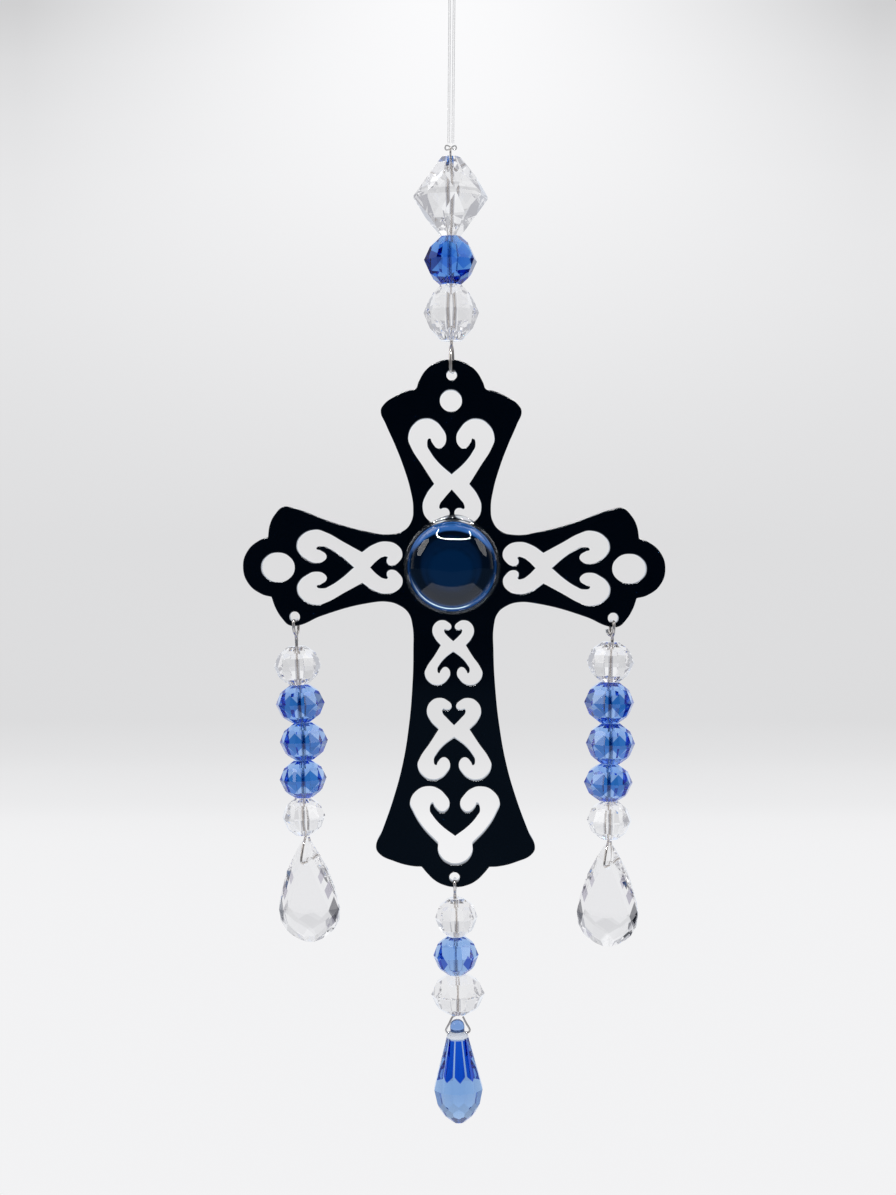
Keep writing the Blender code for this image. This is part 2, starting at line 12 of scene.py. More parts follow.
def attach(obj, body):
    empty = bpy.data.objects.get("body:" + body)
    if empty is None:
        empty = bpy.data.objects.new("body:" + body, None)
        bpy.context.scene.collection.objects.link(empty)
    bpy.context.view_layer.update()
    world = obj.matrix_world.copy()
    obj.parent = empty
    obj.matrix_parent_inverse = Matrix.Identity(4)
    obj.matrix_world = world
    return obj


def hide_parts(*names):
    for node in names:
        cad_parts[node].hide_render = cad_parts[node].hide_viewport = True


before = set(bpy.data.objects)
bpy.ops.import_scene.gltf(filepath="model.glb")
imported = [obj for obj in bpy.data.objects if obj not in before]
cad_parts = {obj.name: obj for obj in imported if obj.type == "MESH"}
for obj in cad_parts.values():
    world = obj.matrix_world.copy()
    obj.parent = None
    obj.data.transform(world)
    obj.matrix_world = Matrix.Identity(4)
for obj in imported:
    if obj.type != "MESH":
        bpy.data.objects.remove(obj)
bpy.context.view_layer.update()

MM = 0.001


# The camera stands straight in front of the cross, level with its gem, as the photograph was taken.
# A small shift brings the long lower strings into the frame, and light may cross many facets.
GLASS_BOUNCES = 32


def placed(name, data):
    """An object made of a mesh, curve or camera and put in the scene."""
    piece = bpy.data.objects.new(name, data)
    bpy.context.scene.collection.objects.link(piece)
    return piece


photo_camera = bpy.data.cameras.new("photo_camera")
photo_camera.lens = 54.2
photo_camera.sensor_width = 36.0
photo_camera.shift_y = -0.0439
photo_camera.clip_start = 0.01
viewpoint = placed("photo_camera", photo_camera)
viewpoint.location = (-0.0009, -0.36, -0.124)
viewpoint.rotation_euler = (math.pi / 2, 0.0, 0.0)
bpy.context.scene.camera = viewpoint
bpy.context.scene.view_settings.view_transform = "Standard"
bpy.context.scene.cycles.max_bounces = GLASS_BOUNCES
bpy.context.scene.cycles.transmission_bounces = GLASS_BOUNCES
bpy.context.scene.cycles.glossy_bounces = GLASS_BOUNCES


# The hanging thread is one clear nylon thread, folded double over the hook and pulled taut.
# Its two ends run down to the knot in the eye of the top wire.
THREAD_THICKNESS = 0.0005
KNOT_PLACE = (-0.00035, 0.0, -0.0445)
thread_route = [
    (-0.00077, 0.0, -0.04355), (-0.00069, 0.0, -0.034), (-0.00061, 0.0, -0.024),
    (-0.00058, 0.0, -0.014), (-0.00081, 0.0, -0.008), (-0.00118, 0.0, -0.0042),
    (-0.00132, 0.0, -0.0019), (-0.00098, 0.0, -0.0005), (0.0, 0.0, 0.0),
    (0.00097, 0.0, -0.0005), (0.00128, 0.0, -0.0019), (0.00112, 0.0, -0.0042),
    (0.00069, 0.0, -0.008), (0.00036, 0.0, -0.014), (0.00023, 0.0, -0.024),
    (0.00015, 0.0, -0.034), (0.00007, 0.0, -0.04355),
]


def smooth_path(points, steps):
    """Points on a smooth curve through the given ones, ends included."""
    route = [Vector(point) for point in points]
    ends = [2 * route[0] - route[1]] + route + [2 * route[-1] - route[-2]]
    path = []
    for index in range(1, len(ends) - 2):
        before, here, there, after = ends[index - 1:index + 3]
        for step in range(steps):
            t = step / steps
            path.append(0.5 * (2 * here + (there - before) * t
                               + (2 * before - 5 * here + 4 * there - after) * t * t
                               + (3 * here - before - 3 * there + after) * t ** 3))
    path.append(route[-1])
    return path


def drawn_tube(name, stretches, radius, *finishes, closed=False):
    """A round thread or wire drawn along joined stretches, each (path, which finish, thickness share)."""
    curve = bpy.data.curves.new(name, "CURVE")
    curve.dimensions = "3D"
    curve.bevel_depth = radius
    curve.bevel_resolution = 4
    curve.use_fill_caps = True
    for path, finish, share in stretches:
        spline = curve.splines.new("POLY")
        spline.points.add(len(path) - 1)
        spline.use_cyclic_u = closed
        spline.use_smooth = True
        spline.material_index = finish
        for point, place in zip(spline.points, path):
            point.co = (*place, 1.0)
            point.radius = share
    for finish in finishes:
        curve.materials.append(finish)
    return placed(name, curve)


def feed(tree, sockets, values):
    """Give sockets their values: another socket's, a plain number, or a colour as (r, g, b)."""
    for name, value in values.items():
        socket = sockets[name]
        if isinstance(value, bpy.types.NodeSocket):
            tree.links.new(value, socket)
        elif socket.type == "RGBA":
            socket.default_value = (*value, 1.0)
        else:
            socket.default_value = value


def add_node(tree, kind, values, **settings):
    """A shader node with its settings and the values of its inputs."""
    node = tree.nodes.new("ShaderNode" + kind)
    for setting, value in settings.items():
        setattr(node, setting, value)
    feed(tree, node.inputs, values)
    return node


def new_finish(name, values):
    """A material, its tree and its shader's inputs, with the values that are even all over it."""
    material = bpy.data.materials.new(name)
    material.use_nodes = True
    inputs = material.node_tree.nodes["Principled BSDF"].inputs
    feed(material.node_tree, inputs, values)
    return material, material.node_tree, inputs


def ranged(tree, value, start, end, low=0.0, high=1.0):
    """A value between start and end, carried over to the stretch from low to high."""
    values = {"Value": value, "From Min": start, "From Max": end, "To Min": low, "To Max": high}
    return add_node(tree, "MapRange", values).outputs["Result"]


def mixed(tree, factor, first, second):
    """One colour over another by a mask; colours are sockets or (r, g, b)."""
    values = {"Factor": factor, "A": first, "B": second}
    return add_node(tree, "Mix", values, data_type="RGBA").outputs["Result"]


def new_group(name, inputs, outputs):
    """A shader node group with its named sockets, as the group, what it is given and its results."""
    group = bpy.data.node_groups.new(name, "ShaderNodeTree")
    for way, sockets in (("INPUT", inputs), ("OUTPUT", outputs)):
        for socket, kind in sockets.items():
            group.interface.new_socket(name=socket, in_out=way, socket_type="NodeSocket" + kind)
    return group, group.nodes.new("NodeGroupInput").outputs, group.nodes.new("NodeGroupOutput").inputs


def build_soft_mottle():
    """Soft clouds between two colours, for every finish of the ornament."""
    group, given, result = new_group(
        "soft_mottle", {"Scale": "Float", "Detail": "Float", "Deep": "Color", "Pale": "Color"},
        {"Color": "Color", "Amount": "Float"})
    place = add_node(group, "TexCoord", {}).outputs["Object"]
    values = {"Vector": place, "Scale": given["Scale"], "Detail": given["Detail"]}
    clouds = add_node(group, "TexNoise", values)
    amount = ranged(group, clouds.outputs["Fac"], 0.3, 0.7)
    feed(group, result, {"Color": mixed(group, amount, given["Deep"], given["Pale"]), "Amount": amount})
    return group


SOFT_MOTTLE = build_soft_mottle()


def mottled(tree, scale, detail, deep, pale):
    """The mottle placed in a finish with its own grain and two colours, as its outputs."""
    values = {"Scale": scale, "Detail": detail, "Deep": deep, "Pale": pale}
    return add_node(tree, "Group", values, node_tree=SOFT_MOTTLE).outputs


def clear_nylon(name, deep, pale):
    """Clear drawn nylon, clouded a little here and there."""
    material, tree, inputs = new_finish(name, {"Roughness": 0.12, "IOR": 1.30,
                                               "Transmission Weight": 0.95})
    feed(tree, inputs, {"Base Color": mottled(tree, 900.0, 2.0, deep, pale)["Color"]})
    return material


nylon = clear_nylon("clear_nylon", (0.95, 0.95, 0.95), (1.0, 1.0, 1.0))
thread = drawn_tube("clear_thread", [(smooth_path(thread_route, 8), 0, 1.0)], THREAD_THICKNESS / 2, nylon)
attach(thread, "root")
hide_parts("hanging_thread")


# The knot is tied in the same thread, just above the eye of the top wire. It is drawn tight as a
# small flat bow, and its nylon is coloured greyer than the thread's.
BOW_STEPS = 60
BOW_REACH = Vector((1.12, 0.24, 0.42)) * MM
bow = []
for step in range(BOW_STEPS):
    angle = 2 * math.pi * step / BOW_STEPS
    turn = Vector((math.cos(angle), math.sin(angle), math.sin(2 * angle)))
    bow.append(Vector(KNOT_PLACE) + BOW_REACH * turn)
tight_nylon = clear_nylon("tight_nylon", (0.28, 0.28, 0.28), (0.62, 0.62, 0.62))
knot = drawn_tube("bow_knot", [(bow, 0, 1.0)], 0.14 * MM, tight_nylon, closed=True)
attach(knot, "root")
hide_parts("thread_knot")


# The cross is cut from one 3 mm sheet of gloss black acrylic and hangs a little out of plumb.
# Its drawing is in millimetres with the gem's centre as zero, and each scroll is a share of its size.
PLATE_THICKNESS = 3.0 * MM
EDGE_ROUND = 0.14 * MM
CROSS_CENTRE_Z = -128.2 * MM
CROSS_LEAN = math.radians(-0.56)
ARM_SLOPE = 0.0136
ARM_REACH = 42.0
ARM_EXCESS = 0.33
HOOK_HOLE = 1.05
TOP_HOLE = (0.2, 38.1)
FOOT_HOLE = (-0.2, -62.1)
LEFT_HOLE = (-31.75, -10.25)
RIGHT_HOLE = (31.75, -10.25)
LARGE_SCROLL = [(0.33, 0.31), (0.50, 0.50), (0.59, 0.56), (0.695, 0.50), (0.635, 0.45),
                (0.543, 0.31), (0.57, 0.19), (0.72, 0.12), (0.86, 0.22), (0.96, 0.37),
                (1.00, 0.57), (0.935, 0.83), (0.71, 1.00), (0.55, 0.93), (0.27, 0.665)]
SMALL_SCROLL = [(0.38, 0.28), (0.53, 0.42), (0.63, 0.41), (0.61, 0.29), (0.63, 0.15),
                (0.76, 0.085), (0.92, 0.24), (1.00, 0.50), (0.90, 0.83), (0.59, 1.00),
                (0.27, 0.87)]


def as_cut(x, z):
    """A point of the square drawing moved to where the cross is really cut."""
    return x + ARM_EXCESS * (x / ARM_REACH) ** 2, z - ARM_SLOPE * x


def on_cross(place):
    """World place of a point of the cross's drawing."""
    x, z = (share * MM for share in as_cut(*place))
    return Vector((x * math.cos(CROSS_LEAN) + z * math.sin(CROSS_LEAN), 0.0,
                   CROSS_CENTRE_Z + z * math.cos(CROSS_LEAN) - x * math.sin(CROSS_LEAN)))


def arc(centre, radius, start, end, steps):
    """Points on a round stretch of outline, angles in degrees from the drawing's x axis."""
    points = []
    for step in range(steps + 1):
        angle = math.radians(start + (end - start) * step / steps)
        points.append((centre[0] + radius * math.cos(angle), centre[1] + radius * math.sin(angle)))
    return points


def scroll(shape, length, half_width):
    return [(along * length, across * half_width) for along, across in shape]


def mirrored(half):
    """A closed outline from the half whose first and last points lie on the middle line."""
    return half + [(along, -across) for along, across in reversed(half[1:-1])]


def add_outline(curve, points, corners=()):
    """One closed spline through the points, smooth except at the listed corner points."""
    spline = curve.splines.new("BEZIER")
    spline.bezier_points.add(len(points) - 1)
    spline.use_cyclic_u = True
    for index, point in enumerate(points):
        x, z = as_cut(*point)
        bend = spline.bezier_points[index]
        bend.co = (x * MM, z * MM, 0.0)
        kind = "VECTOR" if index in corners else "AUTO"
        bend.handle_left_type = kind
        bend.handle_right_type = kind


def add_round_hole(curve, x, z, radius_x, radius_z):
    add_outline(curve, [(x + radius_x * c, z + radius_z * s) for c, s in arc((0, 0), 1, 0, 315, 7)])


def add_scroll_cross(curve, waist, outward, large, small, waist_half):
    """An X of two large and two small scrolls. A scroll is (length, half-width, tongue's setback)."""
    large_length, large_half, large_tip = large
    small_length, small_half, small_tip = small
    half = [(large_tip, 0.0)] + scroll(LARGE_SCROLL, large_length, large_half)
    half.append((0.0, waist_half))
    waist_index = len(half) - 1
    half += [(-along, across) for along, across in reversed(scroll(SMALL_SCROLL, small_length, small_half))]
    half.append((-small_tip, 0.0))
    end_index = len(half) - 1
    outline = mirrored(half)
    corners = (0, waist_index, end_index, len(outline) - waist_index)
    ox, oz = outward
    points = [(waist[0] + along * ox - across * oz, waist[1] + along * oz + across * ox)
              for along, across in outline]
    add_outline(curve, points, corners)


def add_foot_heart(curve):
    """The heart in the foot of the cross, open below into a round."""
    joint_height = -55.5
    half = [(1.7, 0.0)] + scroll(LARGE_SCROLL[:-1], 11.6, 8.95)
    half += [(3.2, 6.4), (0.0, 3.4)]
    joint_index = len(half) - 1
    for x, z in arc((0.0, -56.2), 3.5, -12, -90, 3):
        half.append((z - joint_height, x))
    outline = mirrored(half)
    points = [(across, joint_height + along) for along, across in outline]
    add_outline(curve, points, (0, joint_index, len(outline) - joint_index))


def cross_outline():
    """The cross from the top lobe round by the right arm, and its sharp notches."""
    half = [(0.0, 41.2)] + arc((0.0, 34.35), 6.85, 68, 20, 2)
    half += [(7.05, 35.3), (8.3, 35.05), (11.2, 33.8), (13.5, 32.1), (14.05, 30.9), (13.1, 28.3),
             (11.3, 24.2), (9.65, 19.9), (8.25, 15.1), (7.75, 11.5), (8.1, 9.0), (9.6, 7.1),
             (12.6, 6.3), (17.0, 6.85), (24.0, 8.7), (31.9, 11.5), (33.7, 11.75), (35.6, 10.1),
             (36.6, 8.1), (37.0, 5.6)]
    upper_notch = len(half) - 1
    half += arc((36.25, -0.3), 5.85, 65, -68, 4)
    half += [(36.4, -6.3), (35.6, -8.5), (34.2, -10.7), (32.8, -11.95), (30.9, -11.95),
             (26.5, -10.1), (16.5, -7.4), (12.9, -7.2), (10.7, -7.9), (8.9, -9.4), (8.15, -11.7),
             (8.0, -17.0), (8.3, -24.5), (9.05, -32.0), (10.35, -39.5), (12.3, -46.5),
             (14.6, -52.9), (15.85, -56.0), (15.3, -57.3), (12.2, -58.9), (8.6, -59.85),
             (6.75, -59.95)]
    foot_notch = len(half) - 1
    half += arc((0.0, -56.8), 7.2, -38, -90, 3)
    outline = half + [(-x, z) for x, z in reversed(half[1:-1])]
    count = len(outline)
    corners = (upper_notch, upper_notch + 6, foot_notch)
    return outline, corners + tuple(count - index for index in corners)


def wavy(tree, height, strength):
    """The normal of a surface that waves a little with the height."""
    values = {"Height": height, "Strength": strength, "Distance": 0.2 * MM}
    return add_node(tree, "Bump", values).outputs["Normal"]


def gloss_black_acrylic():
    """Black sheet with a blue cast and faint waves in its gloss."""
    material, tree, inputs = new_finish("gloss_black_acrylic", {"IOR": 1.49, "Specular IOR Level": 0.5})
    haze = mottled(tree, 60.0, 3.0, (0.0002, 0.0008, 0.0024), (0.0004, 0.0014, 0.0036))
    feed(tree, inputs, {"Base Color": haze["Color"],
                        "Roughness": ranged(tree, haze["Amount"], 0.0, 1.0, 0.05, 0.12),
                        "Normal": wavy(tree, haze["Amount"], 0.03)})
    return material


drawing = bpy.data.curves.new("pierced_cross", "CURVE")
drawing.dimensions = "2D"
drawing.fill_mode = "BOTH"
drawing.extrude = PLATE_THICKNESS / 2 - EDGE_ROUND
drawing.bevel_depth = EDGE_ROUND
drawing.bevel_resolution = 2
drawing.offset = -EDGE_ROUND
drawing.resolution_u = 8
outline, corners = cross_outline()
add_outline(drawing, outline, corners)
up, down, right, left = (0, 1), (0, -1), (1, 0), (-1, 0)
add_scroll_cross(drawing, (0, 16.4), up, (13.05, 8.6, 1.9), (7.9, 5.85, 1.1), 3.5)
add_scroll_cross(drawing, (0, -15.8), down, (8.0, 5.75, 1.25), (5.0, 4.15, 0.8), 2.5)
add_scroll_cross(drawing, (0, -32.6), down, (10.2, 7.35, 1.65), (6.3, 5.4, 0.85), 3.1)
for side, outward in ((1, right), (-1, left)):
    add_scroll_cross(drawing, (18.1 * side, -0.35), outward, (13.15, 7.5, 1.65), (8.1, 5.2, 1.6), 3.05)
    add_round_hole(drawing, 35.05 * side, -0.4, 3.4, 2.95)
add_foot_heart(drawing)
add_round_hole(drawing, 0, 33.0, 2.2, 2.2)
for x, z in (TOP_HOLE, FOOT_HOLE, LEFT_HOLE, RIGHT_HOLE):
    add_round_hole(drawing, x, z, HOOK_HOLE, HOOK_HOLE)
drawing.materials.append(gloss_black_acrylic())
cross = placed("pierced_cross", drawing)
cross.location = (0.0, 0.0, CROSS_CENTRE_Z)
cross.rotation_euler = (math.pi / 2, CROSS_LEAN, 0.0)
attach(cross, "root")
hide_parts("cross_plate")


# The gem is a pressed cabochon of dark blue glass with a flat foiled back, glued on the plate.
# Its dome mirrors the lamps; the crescent of light along its rim is painted glow on the foiled back.
GEM_PLACE = Vector((-0.1 * MM, -PLATE_THICKNESS / 2 - 0.3 * MM, CROSS_CENTRE_Z))
GEM_RADIUS = 9.05 * MM
GEM_RISE = 5.6 * MM
GEM_RIM = 0.21
GEM_BACK_SEEN = 0.888
CLEAR_GLASS = {"Roughness": 0.0, "IOR": 1.52, "Transmission Weight": 1.0}
GEM_UNDERCUT = [(0.99, 0.12), (0.965, 0.055), (0.92, 0.012), (0.86, 0.0)]


def dome_profile():
    """(radius, height) shares from the top of the dome to its widest point, then under its rim."""
    profile = []
    for step in range(25):
        share = math.sin(0.5 * math.pi * step / 24)
        lift = max(0.0, 1.0 - share ** 2.4) ** 0.62
        profile.append((share, GEM_RIM + (1.0 - GEM_RIM) * lift))
    return profile + GEM_UNDERCUT


def turned_mesh(name, profile, sides, back_material=None):
    """A mesh turned round its own z axis from (radius, height) points; ends on the axis are closed."""
    mesh = bpy.data.meshes.new(name)
    work = bmesh.new()
    loops = []
    for radius, height in profile:
        if radius < 1e-9:
            loops.append([work.verts.new((0.0, 0.0, height))])
            continue
        loop = []
        for side in range(sides):
            angle = 2 * math.pi * side / sides
            loop.append(work.verts.new((radius * math.cos(angle), radius * math.sin(angle), height)))
        loops.append(loop)
    for upper, lower in zip(loops, loops[1:]):
        for side in range(sides):
            following = (side + 1) % sides
            if len(upper) == 1:
                face = work.faces.new((upper[0], lower[side], lower[following]))
            elif len(lower) == 1:
                face = work.faces.new((upper[side], lower[0], upper[following]))
            else:
                face = work.faces.new((upper[side], lower[side], lower[following], upper[following]))
            face.smooth = True
    for loop, flip in ((loops[0], False), (loops[-1], True)):
        if len(loop) > 1:
            face = work.faces.new(loop)
            if flip and back_material is not None:
                face.material_index = back_material
    bmesh.ops.recalc_face_normals(work, faces=work.faces)
    work.to_mesh(mesh)
    work.free()
    return mesh


def cabochon_glass():
    """Blue glass, clear enough to show the backing behind it."""
    material, tree, inputs = new_finish("cabochon_glass", CLEAR_GLASS)
    tint = mottled(tree, 150.0, 2.0, (0.55, 0.74, 0.97), (0.60, 0.78, 1.0))
    feed(tree, inputs, {"Base Color": tint["Color"]})
    return material


def number_node(tree, operation, *values):
    """A Math node fed by sockets or plain numbers."""
    return add_node(tree, "Math", dict(enumerate(values)), operation=operation).outputs["Value"]


def product(tree, *factors):
    """Masks or numbers multiplied together."""
    result = factors[0]
    for factor in factors[1:]:
        result = number_node(tree, "MULTIPLY", result, factor)
    return result


def soft_step(tree, value, start, end):
    """0 before start, 1 past end, and a smooth change between them."""
    values = {"Value": value, "From Min": start, "From Max": end}
    return add_node(tree, "MapRange", values, interpolation_type="SMOOTHSTEP").outputs["Result"]


def soft_band(tree, value, start, full, fading, end):
    """1 between full and fading, and 0 outside start and end."""
    return product(tree, soft_step(tree, value, start, full), soft_step(tree, value, end, fading))


def gem_backing():
    """The dark foil behind the glass, glowing with painted light: a lighter middle and rim, a crescent above
    and a thin arc below.
    """
    material, tree, inputs = new_finish(
        "gem_backing", {"Roughness": 0.35, "Specular IOR Level": 0.0, "Emission Strength": 1.0})
    place = add_node(tree, "TexCoord", {}).outputs["Object"]
    seen = add_node(tree, "VectorMath", {0: place, "Scale": 1.0 / (GEM_BACK_SEEN * GEM_RADIUS)},
                    operation="SCALE").outputs["Vector"]
    axes = add_node(tree, "SeparateXYZ", {"Vector": seen}).outputs
    across, upward = axes["X"], axes["Y"]

    def distance(x, z, squash=1.0):
        dx = number_node(tree, "ADD", across, -x)
        dz = product(tree, number_node(tree, "ADD", upward, -z), squash)
        squares = number_node(tree, "ADD", product(tree, dx, dx), product(tree, dz, dz))
        return number_node(tree, "SQRT", squares)

    # Every colour mixed below goes to the emission, so it is painted light on the foil, not light gathered
    # by the dome.
    rim = distance(0.0, 0.0)
    grain = add_node(tree, "TexNoise", {"Vector": seen, "Scale": 6.0, "Detail": 4.0}).outputs["Fac"]
    streaks = ranged(tree, grain, 0.35, 0.65, 0.75)
    glow_edge_wobble = product(tree, number_node(tree, "ADD", grain, -0.5), 0.14)
    centre = soft_step(tree, number_node(tree, "ADD", distance(-0.02, -0.06, 1.15), glow_edge_wobble), 0.68, 0.40)
    colour = mixed(tree, centre, (0.0006, 0.003, 0.008), (0.0004, 0.014, 0.048))
    ring = product(tree, soft_step(tree, distance(-0.02, 0.0), 0.70, 0.62),
                   soft_step(tree, distance(-0.02, -0.12), 0.50, 0.60), 0.35)
    colour = mixed(tree, ring, colour, (0.002, 0.02, 0.07))
    colour = mixed(tree, product(tree, soft_step(tree, rim, 0.88, 0.97), 0.6), colour, (0.01, 0.06, 0.20))
    # A crescent of painted light along the top of the rim.
    crescent = product(tree, soft_step(tree, distance(0.0, -0.20), 0.95, 1.00),
                       soft_step(tree, upward, 0.22, 0.55), streaks)
    colour = mixed(tree, crescent, colour, (0.045, 0.165, 0.46))
    line = product(tree, soft_band(tree, rim, 0.905, 0.925, 0.935, 0.955),
                   soft_step(tree, upward, 0.3, 0.6), 0.6)
    colour = mixed(tree, line, colour, (0.01, 0.04, 0.12))
    # A painted glow low on the rim.
    glow_below = product(tree, soft_step(tree, rim, 0.82, 0.92), soft_step(tree, upward, -0.1, -0.8), 0.6)
    colour = mixed(tree, glow_below, colour, (0.03, 0.12, 0.36))
    # A thin bright arc of painted light low on the left, standing for light gathered through the dome.
    turn = number_node(tree, "ARCTAN2", upward, across)
    gathered = product(tree, soft_band(tree, rim, 0.905, 0.918, 0.925, 0.940),
                       soft_band(tree, turn, -2.95, -2.0, -1.30, -1.05), streaks)
    colour = mixed(tree, gathered, colour, (1.2, 1.35, 1.3))
    shade = mixed(tree, streaks, (0.0, 0.0, 0.0), (0.0008, 0.0016, 0.003))
    feed(tree, inputs, {"Base Color": shade, "Emission Color": colour})
    return material


gem_mesh = turned_mesh("blue_cabochon", [(r * GEM_RADIUS, z * GEM_RISE) for r, z in dome_profile()], 96, 1)
gem_mesh.materials.append(cabochon_glass())
gem_mesh.materials.append(gem_backing())
gem = placed("blue_cabochon", gem_mesh)
gem.location = GEM_PLACE
gem.rotation_euler = (math.pi / 2, 0.0, 0.0)
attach(gem, "root")
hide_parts("centre_gem")


# Clear glue holds the gem. It has crept out all round as a thin fillet, and further over the top
# where it bridges the cut-out.
FILLET_INNER = 9.06
FILLET = [(FILLET_INNER, 0.85), (9.12, 0.60), (9.22, 0.36), (9.36, 0.22), (9.50, 0.16), (9.60, 0.08),
          (9.64, -0.06), (9.62, -0.24), (FILLET_INNER, -0.24)]
FILLET_REACH = 0.58
FILLET_STEPS = 120


def clear_glue():
    """Set glue with a slightly uneven skin."""
    material, tree, inputs = new_finish("clear_glue", {**CLEAR_GLASS, "IOR": 1.45})
    tint = mottled(tree, 420.0, 3.0, (0.72, 0.76, 0.80), (0.95, 0.96, 0.97))
    feed(tree, inputs, {"Base Color": tint["Color"], "Normal": wavy(tree, tint["Amount"], 0.06)})
    return material


glue_work = bmesh.new()
glue_loops = []
for step in range(FILLET_STEPS):
    angle = 2 * math.pi * step / FILLET_STEPS
    crept = max(0.0, math.cos(angle - math.radians(84))) ** 14 * 0.65 + 0.03 * math.sin(5 * angle + 1.0)
    loop = []
    for radius, height in FILLET:
        outward = (radius + (radius - FILLET_INNER) / FILLET_REACH * crept) * MM
        spot = (outward * math.cos(angle), outward * math.sin(angle), height * MM)
        loop.append(glue_work.verts.new(spot))
    glue_loops.append(loop)
for index, loop in enumerate(glue_loops):
    following = glue_loops[(index + 1) % len(glue_loops)]
    for corner in range(len(FILLET)):
        beyond = (corner + 1) % len(FILLET)
        face = glue_work.faces.new((loop[corner], loop[beyond], following[beyond], following[corner]))
        face.smooth = corner < len(FILLET) - 2
bmesh.ops.recalc_face_normals(glue_work, faces=glue_work.faces)
glue_mesh = bpy.data.meshes.new("glue_fillet")
glue_work.to_mesh(glue_mesh)
glue_work.free()
glue_mesh.materials.append(clear_glue())
glue = placed("glue_fillet", glue_mesh)
glue.location = GEM_PLACE
glue.rotation_euler = (math.pi / 2, 0.0, 0.0)
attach(glue, "root")


# The top string: a clear bead, a blue bead and a large double cone, all cut glass with eight sides,
# threaded on one steel wire. The wire is ringed through the plate and ends in an eye for the thread.
GAP = 0.3 * MM
FILLED_GAP = 0.24 * MM
BORE_RADIUS = 0.47 * MM
BORE_SIDES = 20
WIRE_RADIUS = 0.32 * MM
EYE_RADIUS = 0.8 * MM
TOP_LEAN = math.radians(-0.3)
TOP_BEADS = [("clear_bead", 11.1, 10.9, 0.0, 0), ("blue_bead", 10.6, 9.35, -0.1, 14),
             ("bicone_bead", 14.8, 15.55, 0.0, 8)]
TOP_FIRST_BEAD = 7.1 * MM


def string_place(hole, lean):
    """The hole's place in the cross, leaning as its string does."""
    return Matrix.Translation(on_cross(hole)) @ Matrix.Rotation(lean, 4, "Y")


def cut_flat(work, point, normal):
    """Grind the solid away beyond a plane and close it with one flat facet."""
    pieces = work.verts[:] + work.edges[:] + work.faces[:]
    cut = bmesh.ops.bisect_plane(work, geom=pieces, plane_co=point, plane_no=normal, clear_outer=True)
    rim = [item for item in cut["geom_cut"] if isinstance(item, bmesh.types.BMEdge)]
    if rim:
        bmesh.ops.edgeloop_fill(work, edges=rim)


def ground_solid(size, cuts):
    """A block ground to the facets of the given (point, normal) planes."""
    work = bmesh.new()
    bmesh.ops.create_cube(work, size=size)
    for point, normal in cuts:
        cut_flat(work, point, normal)
    bmesh.ops.remove_doubles(work, verts=work.verts, dist=1e-7)
    bmesh.ops.recalc_face_normals(work, faces=work.faces)
    return work


def facet_row(cuts, sides, turn, radius, height, elevation):
    """Add a row of facets round the axis, each through (radius, height) at its middle."""
    tilt = math.radians(elevation)
    for side in range(sides):
        angle = 2 * math.pi * (side + turn) / sides
        outward = Vector((math.cos(angle), math.sin(angle), 0.0))
        point = outward * radius + Vector((0.0, 0.0, height))
        cuts.append((point, outward * math.cos(tilt) + Vector((0.0, 0.0, math.sin(tilt)))))


def end_cuts(top, bottom):
    """The flat facets that close a bead or drop above and below."""
    return [(Vector((0, 0, top)), Vector((0, 0, 1))), (Vector((0, 0, bottom)), Vector((0, 0, -1)))]


def round_bead_cuts(width, height, sides, shoulder):
    """A round bead: facets on each side of the girdle and kites round each end.

    The shoulder is where the two rows meet at the side, as shares of the radius and half height.
    """
    radius, half = width / 2, height / 2
    inner = radius * math.cos(math.pi / sides)
    reach, level = shoulder[0] * radius, shoulder[1] * half
    side_slope = math.degrees(math.atan((radius - reach) / level * math.cos(math.pi / sides)))
    end_slope = math.degrees(math.atan((reach - 0.36 * radius) / (half - level)))
    cuts = end_cuts(half, -half)
    for way in (1, -1):
        facet_row(cuts, sides, 0.5, inner, 0.0, way * side_slope)
        facet_row(cuts, sides, 0.0, 0.36 * radius, way * half, way * end_slope)
    return cuts


def bicone_cuts(width, height, sides):
    """The double cone: long kites to each end, and a row of triangles against a narrow girdle."""
    radius, half = width / 2, height / 2
    inner = radius * math.cos(math.pi / sides)
    cuts = end_cuts(half, -half)
    facet_row(cuts, sides, 0.5, inner, 0.0, 0.0)
    facet_row(cuts, sides, 0.5, inner, 0.03 * half, 25.0)
    facet_row(cuts, sides, 0.0, 0.25 * radius, half, 36.0)
    facet_row(cuts, sides, 0.5, inner, -0.05 * half, -25.0)
    facet_row(cuts, sides, 0.0, 0.25 * radius, -half, -36.5)
    return cuts


